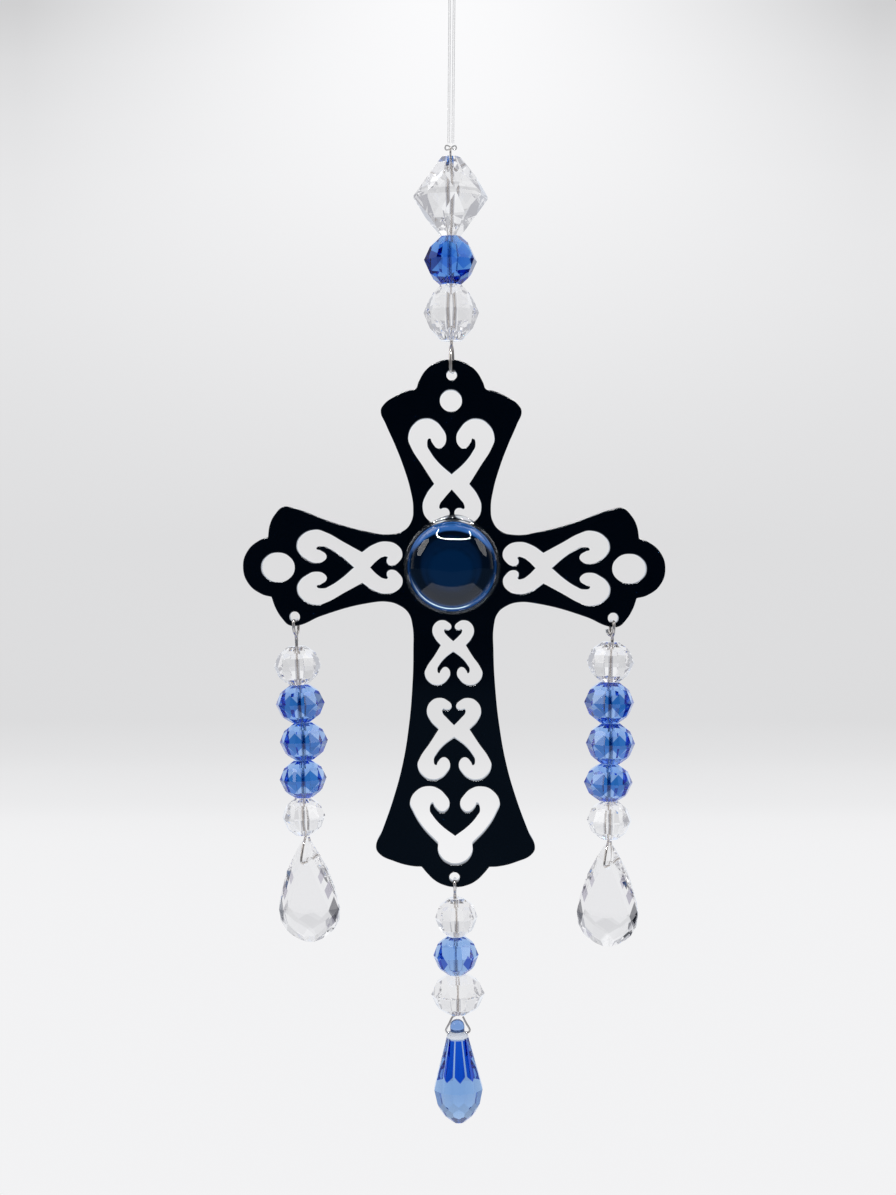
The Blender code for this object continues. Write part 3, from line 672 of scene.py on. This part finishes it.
def bored(work, radius, place, *finishes, joined=None):
    """The solid, with another mesh joined on if given, drilled by a rod laid by the matrix.

    The first finish is the glass; a second one, if given, is for the wall of the bore.
    """
    shapes = []
    rod_work = bmesh.new()
    bmesh.ops.create_cone(rod_work, cap_ends=True, segments=BORE_SIDES, radius1=radius, radius2=radius,
                          depth=40 * MM, matrix=place)
    for kind, source in (("body", work), ("rod", rod_work)):
        shape_mesh = bpy.data.meshes.new(kind)
        source.to_mesh(shape_mesh)
        source.free()
        shape_mesh.materials.append(finishes[0] if kind == "body" else finishes[-1])
        shapes.append(placed(kind, shape_mesh))
    if joined is not None:
        for finish in finishes:
            joined.materials.append(finish)
        shapes.append(placed("joined", joined))
    body = shapes[0]
    for tool, operation in list(zip(shapes[1:], ("DIFFERENCE", "UNION")))[::-1]:
        step = body.modifiers.new(operation.lower(), "BOOLEAN")
        step.object = tool
        step.operation = operation
        step.solver = "EXACT"
        step.material_mode = "TRANSFER"
    bpy.context.view_layer.update()
    done = bpy.data.meshes.new_from_object(body.evaluated_get(bpy.context.evaluated_depsgraph_get()))
    for shape in shapes:
        bpy.data.objects.remove(shape, do_unlink=True)
    tones = done.color_attributes.new("facet_tone", "FLOAT_COLOR", "CORNER")
    for face in done.polygons:
        facing = Vector([round(part, 2) for part in face.normal])
        tone = 0.5 + 0.5 * math.sin(41.0 * facing.x + 67.0 * facing.y + 53.0 * facing.z)
        for corner in face.loop_indices:
            tones.data[corner].color = (tone, tone, tone, 1.0)
    return done


def object_axes(tree):
    """X, Y and Z of a point in its own piece's measure."""
    place = add_node(tree, "TexCoord", {}).outputs["Object"]
    return add_node(tree, "SeparateXYZ", {"Vector": place}).outputs


def build_kite_shade():
    """A kite of painted shade on each side of the front, where a facet turns light back and so looks darker.
    """
    group, values, result = new_group(
        "kite_shade", {"Color": "Color", "Shade": "Color", "Aside": "Float", "Level": "Float",
                       "Half Width": "Float", "Half Height": "Float"}, {"Color": "Color"})
    axes = object_axes(group)
    offsets = []
    for socket, centre, half in ((number_node(group, "ABSOLUTE", axes["X"]), "Aside", "Half Width"),
                                 (axes["Z"], "Level", "Half Height")):
        offset = number_node(group, "SUBTRACT", product(group, socket, 1000.0), values[centre])
        share = number_node(group, "DIVIDE", offset, values[half])
        offsets.append(number_node(group, "ABSOLUTE", share))
    inside = soft_step(group, number_node(group, "ADD", *offsets), 1.04, 0.96)
    mask = product(group, inside, soft_step(group, axes["Y"], 0.0, -0.1 * MM))
    feed(group, result, {"Color": mixed(group, mask, values["Color"], values["Shade"])})
    return group


KITE_SHADE = build_kite_shade()


def cut_glass(name, pale, deep, dim, kites, body=None, density=0.0):
    """Cut glass with faint cords of tint; coloured glass also takes its depth from its own body.

    Facets differ in tone down to the dim colour. Each kite is a patch of painted shade on the front,
    given as (aside, level, half width, half height) in millimetres, and its shade.
    """
    material, tree, inputs = new_finish(name, CLEAR_GLASS)
    tint = mottled(tree, 90.0, 2.0, deep, pale)["Color"]
    facets = add_node(tree, "Attribute", {}, attribute_name="facet_tone")
    tint = mixed(tree, facets.outputs["Fac"], tint, dim)
    # Each kite paints darker shade over the tint, on the front only.
    for aside, level, half_width, half_height, shade in kites:
        values = {"Color": tint, "Shade": shade, "Aside": aside, "Level": level,
                  "Half Width": half_width, "Half Height": half_height}
        tint = add_node(tree, "Group", values, node_tree=KITE_SHADE).outputs["Color"]
    feed(tree, inputs, {"Base Color": tint})
    if body:
        depth = add_node(tree, "VolumeAbsorption", {"Color": body, "Density": density})
        tree.links.new(depth.outputs["Volume"], tree.nodes["Material Output"].inputs["Volume"])
    return material


def drawn_steel(name, deep, pale, dull):
    """Drawn wire with fine marks, from smooth to a little dull."""
    material, tree, inputs = new_finish(name, {"Metallic": 0.7})
    marks = mottled(tree, 260.0, 2.0, deep, pale)
    feed(tree, inputs, {"Base Color": marks["Color"],
                        "Roughness": ranged(tree, marks["Amount"], 0.0, 1.0, dull, dull + 0.08)})
    return material


def repainted(material):
    """A finish's tree, its shader's inputs and the colour there, to paint over in some places."""
    inputs = material.node_tree.nodes["Principled BSDF"].inputs
    return material.node_tree, inputs, inputs["Base Color"].links[0].from_socket


def core_steel():
    """The wire inside the bores mirrors the pale glass round it, with a painted dark reflection as a line
    down its front.
    """
    material = drawn_steel("core_steel", (0.60, 0.60, 0.60), (0.80, 0.80, 0.80), 0.30)
    tree, inputs, marks = repainted(material)
    # A painted dark reflection down the front of the wire.
    front = soft_step(tree, object_axes(tree)["Y"], -0.25 * MM, -0.29 * MM)
    feed(tree, inputs, {"Base Color": mixed(tree, front, marks, (0.02, 0.02, 0.02))})
    return material


# The kites of each glass below are painted shade, darker patches on the front facets where the cut turns
# light back.
clear_glass = cut_glass("clear_cut_glass", (0.99, 0.99, 0.99), (0.975, 0.98, 0.985), (0.93, 0.93, 0.94),
                        [(2.2, -0.5, 1.5, 1.9, (0.88, 0.88, 0.89))])
deep_blue_glass = cut_glass("deep_blue_cut_glass", (0.80, 0.90, 1.0), (0.72, 0.84, 0.99), (0.60, 0.74, 0.96),
                            [(1.7, 1.2, 1.6, 2.2, (0.18, 0.40, 0.82)),
                             (1.6, -0.6, 1.9, 1.5, (0.12, 0.32, 0.78)),
                             (4.4, -0.3, 1.6, 2.4, (0.02, 0.04, 0.20))],
                            (0.0, 0.48, 0.88), 230.0)
light_blue_glass = cut_glass("light_blue_cut_glass",
                             (0.88, 0.94, 1.0), (0.80, 0.88, 0.99), (0.66, 0.78, 0.96),
                             [(1.5, -0.1, 2.1, 2.1, (0.010, 0.13, 0.44)),
                              (2.9, -2.2, 1.5, 1.2, (0.05, 0.18, 0.60)),
                              (4.6, -0.2, 0.9, 1.5, (0.05, 0.12, 0.50))],
                             (0.0, 0.42, 0.90), 120.0)
bright_steel = drawn_steel("bright_steel", (0.52, 0.47, 0.43), (0.85, 0.80, 0.75), 0.05)
shaded_steel = core_steel()


def thread_beads(prefix, beads, first, direction, place, blue, sides, shoulder):
    """Thread the beads from the hole outwards, each turned by its own spin in degrees.

    Returns the distance of the last bead's far end, and the wire's way through the beads.
    """
    reach = first
    way = []
    for kind, width, height, aside, spin in beads:
        name = prefix + "_" + kind
        centre = reach + height * MM / 2
        step = 360 / sides
        seen = math.cos(math.radians((spin + 90 + step / 2) % step - step / 2))
        tall = height * MM + FILLED_GAP
        if "bicone" in kind:
            cuts = bicone_cuts(width * MM / seen, tall, sides)
        else:
            cuts = round_bead_cuts(width * MM / seen, tall, sides, shoulder)
        glass = blue if "blue" in kind else clear_glass
        mesh = bored(ground_solid(30 * MM, cuts), BORE_RADIUS, Matrix(), glass)
        mesh.name = name + "_cut"
        bead = placed(name + "_cut", mesh)
        spot = Vector((aside * MM, 0.0, direction * centre))
        bead.matrix_world = place @ Matrix.Translation(spot) @ Matrix.Rotation(math.radians(spin), 4, "Z")
        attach(bead, "root")
        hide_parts(name)
        way.append(spot)
        reach += height * MM + GAP
    return reach - GAP, way


def hooked_end(direction, length, stem_end, front, back, stub=0.0):
    """The wire's end: a squared hook through the plate hole, with its cut end laid behind the stem.

    Its legs hang front and back of the plate, each a little to one side, and close on the stem.
    A stub is how far the cut end stands out to one side instead.
    """
    bear = direction * (HOOK_HOLE * MM - WIRE_RADIUS - 0.01 * MM)
    low = direction * length
    drop = low - bear
    leg = [(0.20, 0.60, bear + 1.00 * drop), (0.55, 1.10, bear + 0.90 * drop),
           (0.85, 1.60, bear + 0.74 * drop), (1.00, 1.92, bear + 0.52 * drop),
           (1.00, 2.00, bear + 0.26 * drop), (0.90, 1.84, bear + direction * 0.22 * MM),
           (0.60, 1.45, bear + direction * 0.01 * MM)]
    hook = [Vector((share * back * MM, y * MM, z)) for share, y, z in leg]
    hook.append(Vector((0.0, 0.0, bear)))
    hook += [Vector((share * front * MM, -y * MM, z)) for share, y, z in reversed(leg)]
    stem = direction * (abs(stem_end) - length)
    behind = 1.9 * WIRE_RADIUS
    cut_end = [Vector((0.02 * MM, behind, low + 0.55 * stem)), Vector((0.0, behind, low + 0.25 * stem))]
    if stub:
        cut_end = [Vector((stub, 0.35 * MM, low - direction * 1.3 * MM)),
                   Vector((0.75 * stub, 0.45 * MM, low - direction * 0.4 * MM))]
    core = [Vector((0.0, -0.15 * MM, low + 0.25 * stem)), Vector((0.0, 0.0, low + 0.6 * stem)),
            Vector((0.0, 0.0, low + stem))]
    return smooth_path(cut_end + hook + core, 6)


def hang_wire(name, node, stretches, place):
    """A wire in its string's place: bright outside the beads, shaded inside them."""
    wire = drawn_tube(name, stretches, WIRE_RADIUS, bright_steel, shaded_steel)
    wire.matrix_world = place
    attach(wire, "root")
    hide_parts(node)


top_place = string_place(TOP_HOLE, TOP_LEAN)
reach, way = thread_beads("top", TOP_BEADS, TOP_FIRST_BEAD, 1, top_place, deep_blue_glass, 8,
                          (0.775, 0.55))
hook = hooked_end(1, 5.9 * MM, TOP_FIRST_BEAD, -0.22, 0.28)
eye_centre = reach + 1.3 * MM
core = smooth_path([hook[-1]] + way + [Vector((0.0, 0.0, reach - 1.0 * MM))], 4)
eye = [core[-1]]
for degrees in range(270, -61, -15):
    angle = math.radians(degrees)
    eye.append(Vector((0.0, EYE_RADIUS * math.cos(angle), eye_centre + EYE_RADIUS * math.sin(angle))))
hang_wire("top_hook_wire", "top_wire", [(hook, 0, 1.0), (core, 1, 1.0), (eye, 0, 0.62)], top_place)


# The side strings: five cut beads and a clear almond drop each, on a wire that is ringed through the
# arm's small hole and looped through the drop. The drops have turned a little on their loops.
LEFT_LEAN = math.radians(-2.8)
RIGHT_LEAN = math.radians(1.0)
LEFT_BEADS = [("clear_bead_1", 9.1, 7.4, 0.0, 2), ("blue_bead_1", 9.5, 7.3, 0.15, -3),
              ("blue_bead_2", 9.2, 7.2, 0.5, 1), ("blue_bead_3", 9.1, 7.2, 0.0, 4),
              ("clear_bead_2", 8.4, 7.2, -0.25, -4)]
RIGHT_BEADS = [("clear_bead_1", 9.1, 7.7, -0.3, -2), ("blue_bead_1", 9.7, 7.9, -0.4, 3),
               ("blue_bead_2", 9.4, 7.9, 0.0, -1), ("blue_bead_3", 9.4, 7.1, -0.3, 2),
               ("clear_bead_2", 8.8, 7.3, 0.0, 5)]
LEFT_FIRST_BEAD = 6.05 * MM
RIGHT_FIRST_BEAD = 4.95 * MM
LOOP_TURN = math.radians(-24.0)
DROP_TURN = math.radians(-11.0)
DROP_DEPTH = 6.4 * MM
DROP_BELOW_BEAD = 1.4 * MM
DROP_HOLE_DEPTH = 4.1 * MM
DROP_HOLE_RADIUS = 0.6 * MM
DROP_LOOP = [(0.0, "bead", 0.2), (-0.2, "bead", -0.45), (-1.4, "bead", -2.3), (-2.45, "hole", 0.7),
             (-2.1, "hole", 0.05), (-1.2, "hole", 0.0), (1.2, "hole", 0.0), (2.1, "hole", 0.05),
             (2.45, "hole", 0.7), (1.75, "bead", -2.3), (1.15, "bead", -0.9)]
DROP_EDGE = [(0.0, 0.13), (0.10, 0.34), (0.29, 0.67), (0.54, 0.93), (0.67, 1.0), (0.79, 0.955),
             (0.885, 0.77), (0.93, 0.60), (0.97, 0.38), (1.0, 0.12)]
DROP_FACE = [(0.20, 0.11, 0.50), (0.665, 0.76, 0.80), (0.70, 0.02, 0.83), (0.77, 0.40, 0.76),
             (0.80, 0.70, 0.50), (0.85, 0.0, 0.68), (0.88, 0.44, 0.46), (0.93, 0.20, 0.40)]


def almond_solid(width, length):
    """A flat almond: a thin edge, and on each face a kite-shaped table above small facets."""
    half_width, half_depth = width / 2, DROP_DEPTH / 2
    edge_half = 0.07 * DROP_DEPTH
    corners = []
    for down_share, across in DROP_EDGE:
        for side in (-1, 1):
            for face in (-1, 1):
                corners.append((side * across * half_width, face * edge_half, -down_share * length))
    for face in (-1, 1):
        for down_share, across, depth in DROP_FACE:
            for side in (-1, 1):
                corners.append((side * across * half_width, face * depth * half_depth, -down_share * length))
    work = bmesh.new()
    for corner in corners:
        work.verts.new(corner)
    hull = bmesh.ops.convex_hull(work, input=work.verts)
    inside = [item for item in hull["geom_interior"] if isinstance(item, bmesh.types.BMVert)]
    bmesh.ops.delete(work, geom=inside, context="VERTS")
    bmesh.ops.dissolve_limit(work, angle_limit=math.radians(1.0), verts=work.verts, edges=work.edges)
    bmesh.ops.recalc_face_normals(work, faces=work.faces)
    return work


# Its kites are painted shade on the front flanks of the drop.
almond_glass = cut_glass("clear_almond_glass", (0.99, 0.99, 0.99), (0.975, 0.98, 0.985), (0.93, 0.93, 0.94),
                         [(5.4, -13.6, 0.8, 2.7, (0.11, 0.11, 0.12)),
                          (4.5, -9.6, 0.7, 1.8, (0.36, 0.34, 0.42)),
                          (3.1, -6.9, 0.6, 1.5, (0.46, 0.44, 0.52))])


def string_wire(name, node, hook, way, bends, reach, hole_z, across, share, place):
    """One wire for a hanging string: its hook, its stretch in the beads and its bent lower end.

    Each bend is aside in millimetres, and how far it is above the last bead's end or the drop's hole.
    """
    core = smooth_path([hook[-1]] + way, 4)
    levels = {"bead": -reach, "hole": hole_z}
    lower = smooth_path([across * aside * MM + Vector((0.0, 0.0, levels[level] + rise * MM))
                         for aside, level, rise in bends], 4)
    core.append(lower[0])
    hang_wire(name, node, [(hook, 0, 1.0), (core, 1, 1.0), (lower, 0, share)], place)


def side_string(prefix, hole, lean, beads, first, legs, stub, width, length):
    """The beads, the drop below them and the one wire that holds them all."""
    place = string_place(hole, lean)
    reach, way = thread_beads(prefix, beads, first, -1, place, light_blue_glass, 10, (0.79, 0.60))
    top = -(reach + DROP_BELOW_BEAD)
    hole_rod = Matrix.Translation((0.0, 0.0, -DROP_HOLE_DEPTH)) @ Matrix.Rotation(math.pi / 2, 4, "X")
    mesh = bored(almond_solid(width, length), DROP_HOLE_RADIUS, hole_rod, almond_glass)
    drop = placed(prefix + "_almond_drop", mesh)
    drop.matrix_world = place @ Matrix.Translation((0.0, 0.0, top)) @ Matrix.Rotation(DROP_TURN, 4, "Z")
    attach(drop, "root")
    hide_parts(prefix + "_drop")

    hook = hooked_end(-1, 3.6 * MM, first, *legs, stub)
    across = Vector((math.sin(-LOOP_TURN), math.cos(-LOOP_TURN), 0.0))
    string_wire(prefix + "_string_wire", prefix + "_wire", hook, way, DROP_LOOP, reach,
                top - DROP_HOLE_DEPTH, across, 0.75, place)


side_string("left", LEFT_HOLE, LEFT_LEAN, LEFT_BEADS, LEFT_FIRST_BEAD, (-0.24, 0.36), 0.0,
            12.4 * MM, 20.1 * MM)
side_string("right", RIGHT_HOLE, RIGHT_LEAN, RIGHT_BEADS, RIGHT_FIRST_BEAD, (0.10, -0.25), -1.1 * MM,
            12.2 * MM, 20.2 * MM)


# The foot string: three cut beads on a wire whose thinner end is bent into a three-cornered bail.
# The blue drop hangs in the bail by its round nub, with long facets below a narrow neck.
FOOT_LEAN = math.radians(-1.05)
FOOT_BEADS = [("clear_bead_1", 8.2, 7.3, 0.2, 3), ("blue_bead", 8.7, 7.3, 0.0, -2),
              ("clear_bead_2", 10.2, 7.6, 0.25, 1)]
FOOT_FIRST_BEAD = 4.5 * MM
BLUE_DROP_SIDES = 10
BLUE_DROP_HOLE_DEPTH = 2.7 * MM
BLUE_DROP_HOLE_RADIUS = 0.55 * MM
BLUE_DROP_BELOW_BEAD = 1.3 * MM
BAIL = [(0.0, "bead", 0.2), (-0.15, "bead", -0.35), (-0.95, "bead", -0.85), (-1.55, "bead", -2.0),
        (-2.25, "hole", 0.75), (-2.15, "hole", 0.15), (-1.6, "hole", 0.0), (1.6, "hole", 0.0),
        (2.35, "hole", 0.15), (2.45, "hole", 0.75), (1.75, "bead", -2.0), (1.15, "bead", -0.75)]
BLUE_DROP_WAIST = (2.15, -3.6)
BLUE_DROP_GIRDLE = (5.05, -13.7)


def drop_body_cuts():
    """Long petals from the waist, crossed by long facets to the girdle, and three rows below."""
    waist, waist_z = BLUE_DROP_WAIST
    girdle, girdle_z = BLUE_DROP_GIRDLE
    inner = girdle * math.cos(math.pi / BLUE_DROP_SIDES) * MM
    cuts = end_cuts(waist_z * MM, -20.5 * MM)
    facet_row(cuts, BLUE_DROP_SIDES, 0.0, inner, girdle_z * MM, 14.5)
    facet_row(cuts, BLUE_DROP_SIDES, 0.5, waist * MM, waist_z * MM, 16.3)
    facet_row(cuts, BLUE_DROP_SIDES, 0.0, inner, girdle_z * MM, -12.0)
    facet_row(cuts, BLUE_DROP_SIDES, 0.5, 4.62 * MM, -16.2 * MM, -32.0)
    facet_row(cuts, BLUE_DROP_SIDES, 0.0, 3.05 * MM, -18.8 * MM, -50.0)
    return cuts


NUB_PROFILE = [(0.0, 0.0), (0.55, -0.06), (0.95, -0.26), (1.25, -0.62), (1.42, -1.10), (1.46, -1.60),
               (1.42, -2.05), (1.46, -2.35), (1.75, -2.60), (2.02, -2.95), (2.12, -3.35), (2.10, -3.9),
               (0.0, -4.1)]


def petal_glass():
    """Light blue glass; the long petals under its neck are painted far darker, as painted shade for the
    light they turn back.
    """
    material = cut_glass("petal_glass", (0.76, 0.85, 0.98), (0.70, 0.81, 0.96), (0.62, 0.75, 0.94), [],
                         (0.0, 0.42, 0.82), 100.0)
    tree, inputs, cords = repainted(material)
    axes = object_axes(tree)
    turn = number_node(tree, "ARCTAN2", axes["Y"], axes["X"])
    petal = product(tree, number_node(tree, "ADD", turn, 4 * math.pi - math.radians(5)),
                    BLUE_DROP_SIDES / (2 * math.pi))
    off_middle = number_node(tree, "ADD", number_node(tree, "FRACT", petal), -0.5)
    off_middle = number_node(tree, "ABSOLUTE", off_middle)
    off_front = number_node(tree, "ABSOLUTE", number_node(tree, "ADD", turn, math.pi / 2))
    height = number_node(tree, "ADD", axes["Z"], product(tree, off_middle, -2.6 * MM))
    # The petals' deep blue is painted shade, on the front of the drop only.
    dark = product(tree, soft_step(tree, height, -11.8 * MM, -11.5 * MM),
                   soft_step(tree, axes["Z"], -3.6 * MM, -3.9 * MM),
                   soft_step(tree, off_middle, 0.46, 0.40), soft_step(tree, off_front, 0.98, 0.92))
    colour = mixed(tree, soft_step(tree, axes["Z"], -3.3 * MM, -3.1 * MM), cords, (0.30, 0.46, 0.80))
    feed(tree, inputs, {"Base Color": mixed(tree, dark, colour, (0.0003, 0.02, 0.50))})
    return material


def ground_glass():
    """The drilled wall and the collar under the nub are left as ground, so they look pale."""
    material, tree, inputs = new_finish("ground_glass", {"Roughness": 0.6, "Transmission Weight": 0.3})
    tint = mottled(tree, 500.0, 3.0, (0.78, 0.86, 0.97), (0.97, 0.98, 1.0))
    feed(tree, inputs, {"Base Color": tint["Color"]})
    return material


foot_place = string_place(FOOT_HOLE, FOOT_LEAN)
# Its kites are painted shade on the front of the bead.
pale_blue_glass = cut_glass("pale_blue_cut_glass", (0.86, 0.93, 1.0), (0.78, 0.87, 0.99), (0.68, 0.80, 0.97),
                            [(2.5, -1.0, 1.0, 1.6, (0.002, 0.03, 0.42))], (0.0, 0.42, 0.88), 125.0)
reach, way = thread_beads("foot", FOOT_BEADS, FOOT_FIRST_BEAD, -1, foot_place, pale_blue_glass, 10,
                          (0.80, 0.60))
top = -(reach + BLUE_DROP_BELOW_BEAD)
hole_rod = Matrix.Translation((0.0, 0.0, -BLUE_DROP_HOLE_DEPTH)) @ Matrix.Rotation(math.pi / 2, 4, "Y")
body_work = ground_solid(60 * MM, drop_body_cuts())
nub_mesh = turned_mesh("nub", [(radius * MM, height * MM) for radius, height in NUB_PROFILE], 32)
for face in nub_mesh.polygons:
    face.material_index = 1 if face.center.z < -2.2 * MM else 0
mesh = bored(body_work, BLUE_DROP_HOLE_RADIUS, hole_rod, petal_glass(), ground_glass(), joined=nub_mesh)
briolette = placed("blue_briolette", mesh)
briolette.matrix_world = foot_place @ Matrix.Translation((0.0, 0.0, top))
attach(briolette, "root")
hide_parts("blue_drop")

hook = hooked_end(-1, 3.1 * MM, FOOT_FIRST_BEAD, 0.0, 0.1)
string_wire("foot_bail_wire", "foot_wire", hook, way, BAIL, reach, top - BLUE_DROP_HOLE_DEPTH,
            Vector((1.0, 0.0, 0.0)), 0.62, foot_place)


# The stage: a pale sweep, a little greyer low on the wall and brighter on the floor, which also
# lights the glass from behind. The room in front stays dim, so the black sheet mirrors little.
WALL_Y = 0.74
WALL_TOP = 0.26
FLOOR_Z = -0.274
BEND = 0.06


def sweep_finish():
    """Seen directly the sweep is pale; in mirrors only its lit middle shows."""
    material, tree, inputs = new_finish("pale_sweep", {"Base Color": (0.0, 0.0, 0.0), "Roughness": 1.0,
                                                       "Specular IOR Level": 0.0, "Emission Strength": 1.0})
    material.cycles.emission_sampling = "NONE"
    axes = object_axes(tree)

    def greys(levels, bottom, top, value):
        node = add_node(tree, "ValToRGB", {"Fac": ranged(tree, value, bottom, top)})
        ramp = node.color_ramp
        stops = [((spot - bottom) / (top - bottom), (level / 255) ** 2.2) for spot, level in levels]
        for index, (spot, level) in enumerate(stops):
            stop = ramp.elements[index] if index < 2 else ramp.elements.new(spot)
            stop.position = spot
            stop.color = (level, level, level * 1.012, 1.0)
        return node.outputs["Color"]

    def inverse(mask):
        return number_node(tree, "SUBTRACT", 1.0, mask)

    middle = greys([(-0.260, 228), (-0.231, 221), (-0.121, 221), (-0.0476, 229), (0.0257, 237),
                    (0.0990, 245), (0.1500, 249), (0.1724, 250), (0.206, 251), (0.25, 251)],
                   FLOOR_Z, WALL_TOP, axes["Z"])
    sides = greys([(-0.260, 228), (-0.231, 219), (-0.121, 221), (-0.0476, 225), (0.0257, 230),
                   (0.0624, 231), (0.0990, 230), (0.1357, 226), (0.1724, 219), (0.206, 207)],
                  FLOOR_Z, WALL_TOP, axes["Z"])
    aside = number_node(tree, "ABSOLUTE", axes["X"])
    off_middle = number_node(tree, "POWER", product(tree, aside, 1 / 0.26), 1.6)
    wall = mixed(tree, number_node(tree, "MINIMUM", off_middle, 1.0), middle, sides)
    floor = greys([(0.0, 242), (0.40, 242), (0.55, 241), (0.62, 239), (0.72, 232)], -0.1, 0.75, axes["Y"])
    pale = mixed(tree, soft_step(tree, axes["Z"], FLOOR_Z + 0.001, FLOOR_Z + 0.025), floor, wall)
    lit = product(tree, soft_step(tree, axes["Y"], -0.28, -0.24), soft_step(tree, aside, 0.19, 0.17))
    lit = number_node(tree, "MAXIMUM", lit, soft_step(tree, axes["Y"], 0.10, 0.30))
    rays = add_node(tree, "LightPath", {}).outputs
    outside = product(tree, rays["Is Glossy Ray"], inverse(rays["Is Transmission Ray"]))
    mirrored = mixed(tree, outside, pale, (0.84, 0.90, 1.0))
    unseen = product(tree, soft_step(tree, aside, 0.42, 0.62), inverse(rays["Is Camera Ray"]))
    mirrored = mixed(tree, unseen, mirrored, (0.46, 0.46, 0.49))
    unlit = product(tree, rays["Is Glossy Ray"], inverse(lit), outside)
    feed(tree, inputs, {"Emission Color": mixed(tree, unlit, mirrored, (0.05, 0.09, 0.15))})
    return material


sweep_mesh = bpy.data.meshes.new("pale_sweep")
line = [(-1.6, FLOOR_Z), (WALL_Y - BEND, FLOOR_Z)]
for step in range(1, 13):
    angle = math.radians(90 * step / 12)
    line.append((WALL_Y - BEND + BEND * math.sin(angle), FLOOR_Z + BEND - BEND * math.cos(angle)))
line.append((WALL_Y, 1.6))
verts = [(x, y, z) for y, z in line for x in (-2.0, 2.0)]
faces = [(2 * i, 2 * i + 1, 2 * i + 3, 2 * i + 2) for i in range(len(line) - 1)]
sweep_mesh.from_pydata(verts, [], faces)
sweep_mesh.materials.append(sweep_finish())
sweep = placed("pale_sweep", sweep_mesh)

world = bpy.data.worlds.new("dim_room")
bpy.context.scene.world = world
world.use_nodes = True
tree = world.node_tree
rays = add_node(tree, "LightPath", {}).outputs
heading = add_node(tree, "TexCoord", {}).outputs["Generated"]
axes = add_node(tree, "SeparateXYZ", {"Vector": heading}).outputs
backward = soft_step(tree, axes["Y"], -0.25, 0.15)
mirrored_room = mixed(tree, backward, (0.006, 0.020, 0.045), (0.60, 0.62, 0.65))
ceiling = product(tree, soft_step(tree, axes["Z"], 0.55, 0.75),
                  soft_band(tree, axes["Y"], -0.02, 0.12, 0.42, 0.60))
mirrored_room = mixed(tree, ceiling, mirrored_room, (2.9, 2.9, 2.95))
overhead = soft_step(tree, axes["Z"], 0.25, 0.80)
glass_room = mixed(tree, overhead, (0.86, 0.86, 0.88), (1.05, 1.05, 1.05))
aside = soft_step(tree, number_node(tree, "ABSOLUTE", axes["X"]), 0.55, 0.85)
glass_room = mixed(tree, aside, glass_room, (0.44, 0.44, 0.47))
ahead = product(tree, soft_step(tree, axes["Y"], -0.55, -0.90), 0.6)
glass_room = mixed(tree, ahead, glass_room, (0.30, 0.30, 0.32))
window = add_node(tree, "VectorMath", {0: heading, 1: Vector((0.15, -0.60, 0.79)).normalized()},
                  operation="DOT_PRODUCT").outputs["Value"]
glass_room = mixed(tree, soft_step(tree, window, 0.93, 0.955), glass_room, (1.3, 1.3, 1.3))
room = mixed(tree, rays["Is Transmission Ray"], mirrored_room, glass_room)
room = mixed(tree, rays["Is Diffuse Ray"], room, (0.75, 0.75, 0.77))
room = mixed(tree, rays["Is Camera Ray"], room, (0.80, 0.80, 0.81))
feed(tree, tree.nodes["Background"].inputs, {"Color": room})


def lamp(name, work, strength):
    """A plain lamp face, seen only in mirrors; it is not sampled as a light."""
    glow = new_finish(name, {"Emission Color": (1.0, 1.0, 1.0), "Emission Strength": strength})[0]
    glow.cycles.emission_sampling = "NONE"
    mesh = bpy.data.meshes.new(name)
    work.to_mesh(mesh)
    work.free()
    mesh.materials.append(glow)
    piece = placed(name, mesh)
    piece.visible_camera = False
    piece.visible_diffuse = False
    piece.visible_transmission = False
    piece.visible_shadow = False


def softbox(name, heading, distance, width, height, strength):
    """An oval soft lamp in the given direction from the gem."""
    towards = Vector(heading).normalized()
    aim = (-towards).to_track_quat("Z", "Y").to_matrix().to_4x4()
    spot = Matrix.Translation(GEM_PLACE + towards * distance) @ aim
    work = bmesh.new()
    bmesh.ops.create_circle(work, cap_ends=True, segments=40, radius=0.5,
                            matrix=spot @ Matrix.Diagonal((width, height, 1.0, 1.0)))
    lamp(name, work, strength)


softbox("left_softbox", (-0.775, -0.34, 0.50), 0.6, 0.24, 0.34, 2.4)
softbox("right_softbox", (0.775, -0.34, 0.50), 0.6, 0.24, 0.34, 1.6)

ring_work = bmesh.new()
LAMP_HEIGHT = 0.35
for index in range(25):
    angle = math.radians(-128 + 256 * index / 24)
    spot = LAMP_HEIGHT * Vector((0.06 + 0.55 * math.sin(angle), -0.5 - 0.57 * math.cos(angle), 1.0))
    radius = 0.0085 + 0.0035 * max(0.0, math.cos(angle))
    bmesh.ops.create_icosphere(ring_work, subdivisions=2, radius=radius,
                               matrix=Matrix.Translation(GEM_PLACE + spot))
lamp("ring_lamp", ring_work, 170.0)
